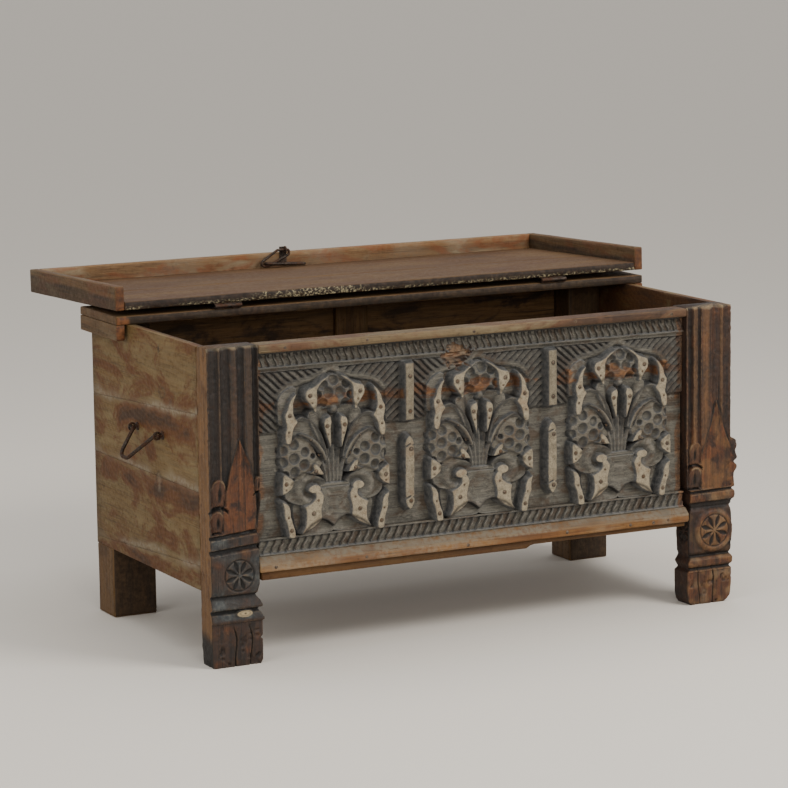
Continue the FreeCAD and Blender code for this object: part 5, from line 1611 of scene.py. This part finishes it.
HANDLE_Z, HANDLE_OFF, HANDLE_LEAN = 432, 12, math.radians(33)
for name, side in (("left", -1), ("right", 1)):
    pivot = side * (HALF_WIDTH + HANDLE_OFF)

    def swung(back, drop):
        """A place on the bail: its depth and how far it hangs below the pivot."""
        return (pivot + side * drop * math.sin(HANDLE_LEAN), y_of(back),
                HANDLE_Z - drop * math.cos(HANDLE_LEAN))

    route = rounded_route([swung(223.5, 0), swung(241, 0), swung(307, 64), swung(347, 64),
                           swung(353, 0), swung(370.5, 0)], [0, 8, 20, 20, 6.4, 0], False)
    points, faces = swept(route, 4, False, 16, .1, 5)
    bail = make_object(name + "_handle_rod", points, faces, IRON, name + "_handle")
    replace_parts(bail, name + "_handle_bail")
    parts = []
    for back in (232, 362):
        face = (side * HALF_WIDTH, y_of(back), HANDLE_Z)
        out = (side, 0, 0)
        parts.append(turned_disc(face, out, [(8.9, -1), (8.9, 1.0), (8.2, 1.7), (4.5, 2.0),
                                             (3.4, 2.0)]))
        parts.append(turned_disc(face, out, [(2.6, 0), (2.3, 2), (2.3, 5.4)]))
        parts.append(ring_round((pivot, y_of(back), HANDLE_Z), (0, 1, 0), 4))
    points, faces = merged(parts)
    eyes = make_object(name + "_handle_staples", points, faces, IRON, "carcass")
    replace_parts(eyes, name + "_handle_eyes")


HASP_X, HASP_BACK = -30, -59


def hasp_place(across, height, off=0.0):
    """A place on the hasp: along the lid from its eye, and up from the lid boards."""
    return (HASP_X + across, y_of(HASP_BACK) + off, LID_LOW - height)


route = rounded_route([hasp_place(-19, 38), hasp_place(9.1, 38), hasp_place(9.1, 27.1),
                       hasp_place(-41, 4), hasp_place(-55.1, 4), hasp_place(-60, 12.3)],
                      [6, 4, 4, 9.9, 5.1, 5.1], True)
points, faces = swept(route, 3, True, 14, .1, 7)
loop = make_object("hasp_bent_link", opened(points), faces, IRON, "hasp_link_loop")
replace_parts(loop, "hasp_loop")

HALF_LINK, LINK = 7.5, 96
tilt = math.atan2(5.8, LINK)
stadium = [(middle + HALF_LINK * math.cos(t), HALF_LINK * math.sin(t))
           for middle, start, stop in ((HALF_LINK, math.pi / 2, 3 * math.pi / 2),
                                       (LINK - HALF_LINK, -math.pi / 2, math.pi / 2))
           for t in np.linspace(start, stop, 15)]
long_route = []
for i, (a, b) in enumerate(stadium):
    after = stadium[(i + 1) % len(stadium)]
    gap = math.hypot(after[0] - a, after[1] - b)
    pieces = max(1, int(gap / ROD_STEP))
    for j in range(pieces):
        along = a + (after[0] - a) * j / pieces
        off = b + (after[1] - b) * j / pieces
        long_route.append(hasp_place(-49 + along * math.cos(tilt), 10 - along * math.sin(tilt),
                                     off))
points, faces = swept(np.array(long_route), 3, True, 14, .1, 8)
bar = make_object("hasp_long_link", opened(points), faces, IRON, "hasp_link_bar")
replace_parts(bar, "hasp_bar")

centre = hasp_place(0, 38)
parts = [ring_round(centre, (1, 0, 0), 3),
         turned_disc((centre[0], y_of(RIM_BACK), centre[2]), (0, 1, 0),
                     [(3.4, 0), (3.0, 1.6), (2.4, 3), (2.4, 7.4)]),
         lattice(np.array((HASP_X - 8.5, y_of(RIM_BACK), 591)),
                 np.array((HASP_X + 8.5, y_of(RIM_BACK + 1.5), 631)), .4, 4)]
points, faces = merged(parts)
plate = make_object("hasp_plate", opened(points), faces, IRON, "lid", smooth=False)
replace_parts(plate, "hasp_eye_plate")

for name in ("left", "right"):
    for node in ("hinge_strip_leaf", "hinge_lid_leaf", "hinge_pin"):
        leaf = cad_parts["%s_%s" % (name, node)]
        leaf.data.materials.clear()
        leaf.data.materials.append(IRON)


# Nails.

def nails(name, spots, body, seed=1):
    """Domed heads: places with the direction they face, and a radius for each."""
    chance = np.random.default_rng(seed)
    places, turns, sizes = [], [], []
    for place, facing, radius in spots:
        places.append(place)
        spin = Vector(facing).to_track_quat("Z", "Y").to_euler()
        turns.append(tuple(spin))
        radius *= 1 + chance.normal(0, .05)
        sizes.append((radius, radius, radius * .34))
    return scattered(name, HEAD_TREE, places, turns, sizes, NAIL, body)


FORWARD = (0, -1, 0)
nails("panel_nails", [((x, y + .3, z), FORWARD, r) for x, y, z, r in PANEL_NAILS], "carcass")
rail_spots = [((x, y_of(.8), 626 + (i % 2) * 1.5), FORWARD, 3.8)
              for i, x in enumerate((-434, -254, -14, 222, 452))]
rail_spots += [((x, y_of(.8), 191 - (i % 3)), FORWARD, 3.6)
               for i, x in enumerate((-462, -262, -32, 200, 352, 408, 444))]
nails("rail_nails", rail_spots, "carcass", seed=2)


# Floor, light and camera.

def plain(name, code, roughness):
    """A finish of one colour."""
    f = Finish(name, roughness=roughness, specular=.2)
    f.join(colour(code), f.shader.inputs["Base Color"])
    return f.material


mesh = bpy.data.meshes.new("studio_floor")
mesh.from_pydata([(-30, -30, 0), (30, -30, 0), (30, 30, 0), (-30, 30, 0)], [], [(0, 1, 2, 3)])
mesh.materials.append(plain("pale_floor", "#d9d4cc", .8))
ground = placed("studio_floor", mesh)

world = bpy.data.worlds.new("studio")
world.use_nodes = True
background = world.node_tree.nodes["Background"].inputs
background["Color"].default_value = (1.0, .975, .94, 1)
background["Strength"].default_value = .74
bpy.context.scene.world = world


def area_light(name, place, target, size, power, tint):
    """A softbox that looks at a target."""
    lamp = bpy.data.lights.new(name, "AREA")
    lamp.shape = "RECTANGLE"
    lamp.size, lamp.size_y = size
    lamp.energy = power
    lamp.color = tint
    thing = placed(name, lamp)
    thing.location = place
    thing.rotation_euler = (Vector(target) - Vector(place)).to_track_quat("-Z", "Y").to_euler()


area_light("key_softbox", (1.7, -2.7, 2.9), (0, 0, .4), (1.6, 1.3), 112, (1, .96, .9))
area_light("side_softbox", (-3.6, -1.6, 1.8), (0, 0, .4), (2.2, 1.8), 32, (1, .96, .9))
area_light("front_softbox", (-1.2, -4.6, 1.7), (0, 0, .5), (1.6, 1.2), 42, (1, .97, .93))
area_light("top_softbox", (0, .6, 3.6), (0, 0, .4), (3.0, 2.0), 38, (1, .98, .95))

# The camera was worked out from the photo against the middle of the chest's plan.
lens = bpy.data.cameras.new("photo_camera")
lens.sensor_width = 36
lens.lens = 149.46
lens.clip_end = 100
camera = placed("photo_camera", lens)
right = Vector((0.890528, -0.454744, -0.012948))
up = Vector((0.085213, 0.138781, 0.986650))
back = Vector((-0.446876, -0.879743, 0.162339))
place = Vector((-3.10753, -6.03031 + FRONT * MM + .3, 1.57155))
camera.matrix_world = Matrix(((right.x, up.x, back.x, place.x), (right.y, up.y, back.y, place.y),
                              (right.z, up.z, back.z, place.z), (0, 0, 0, 1)))
bpy.context.scene.camera = camera
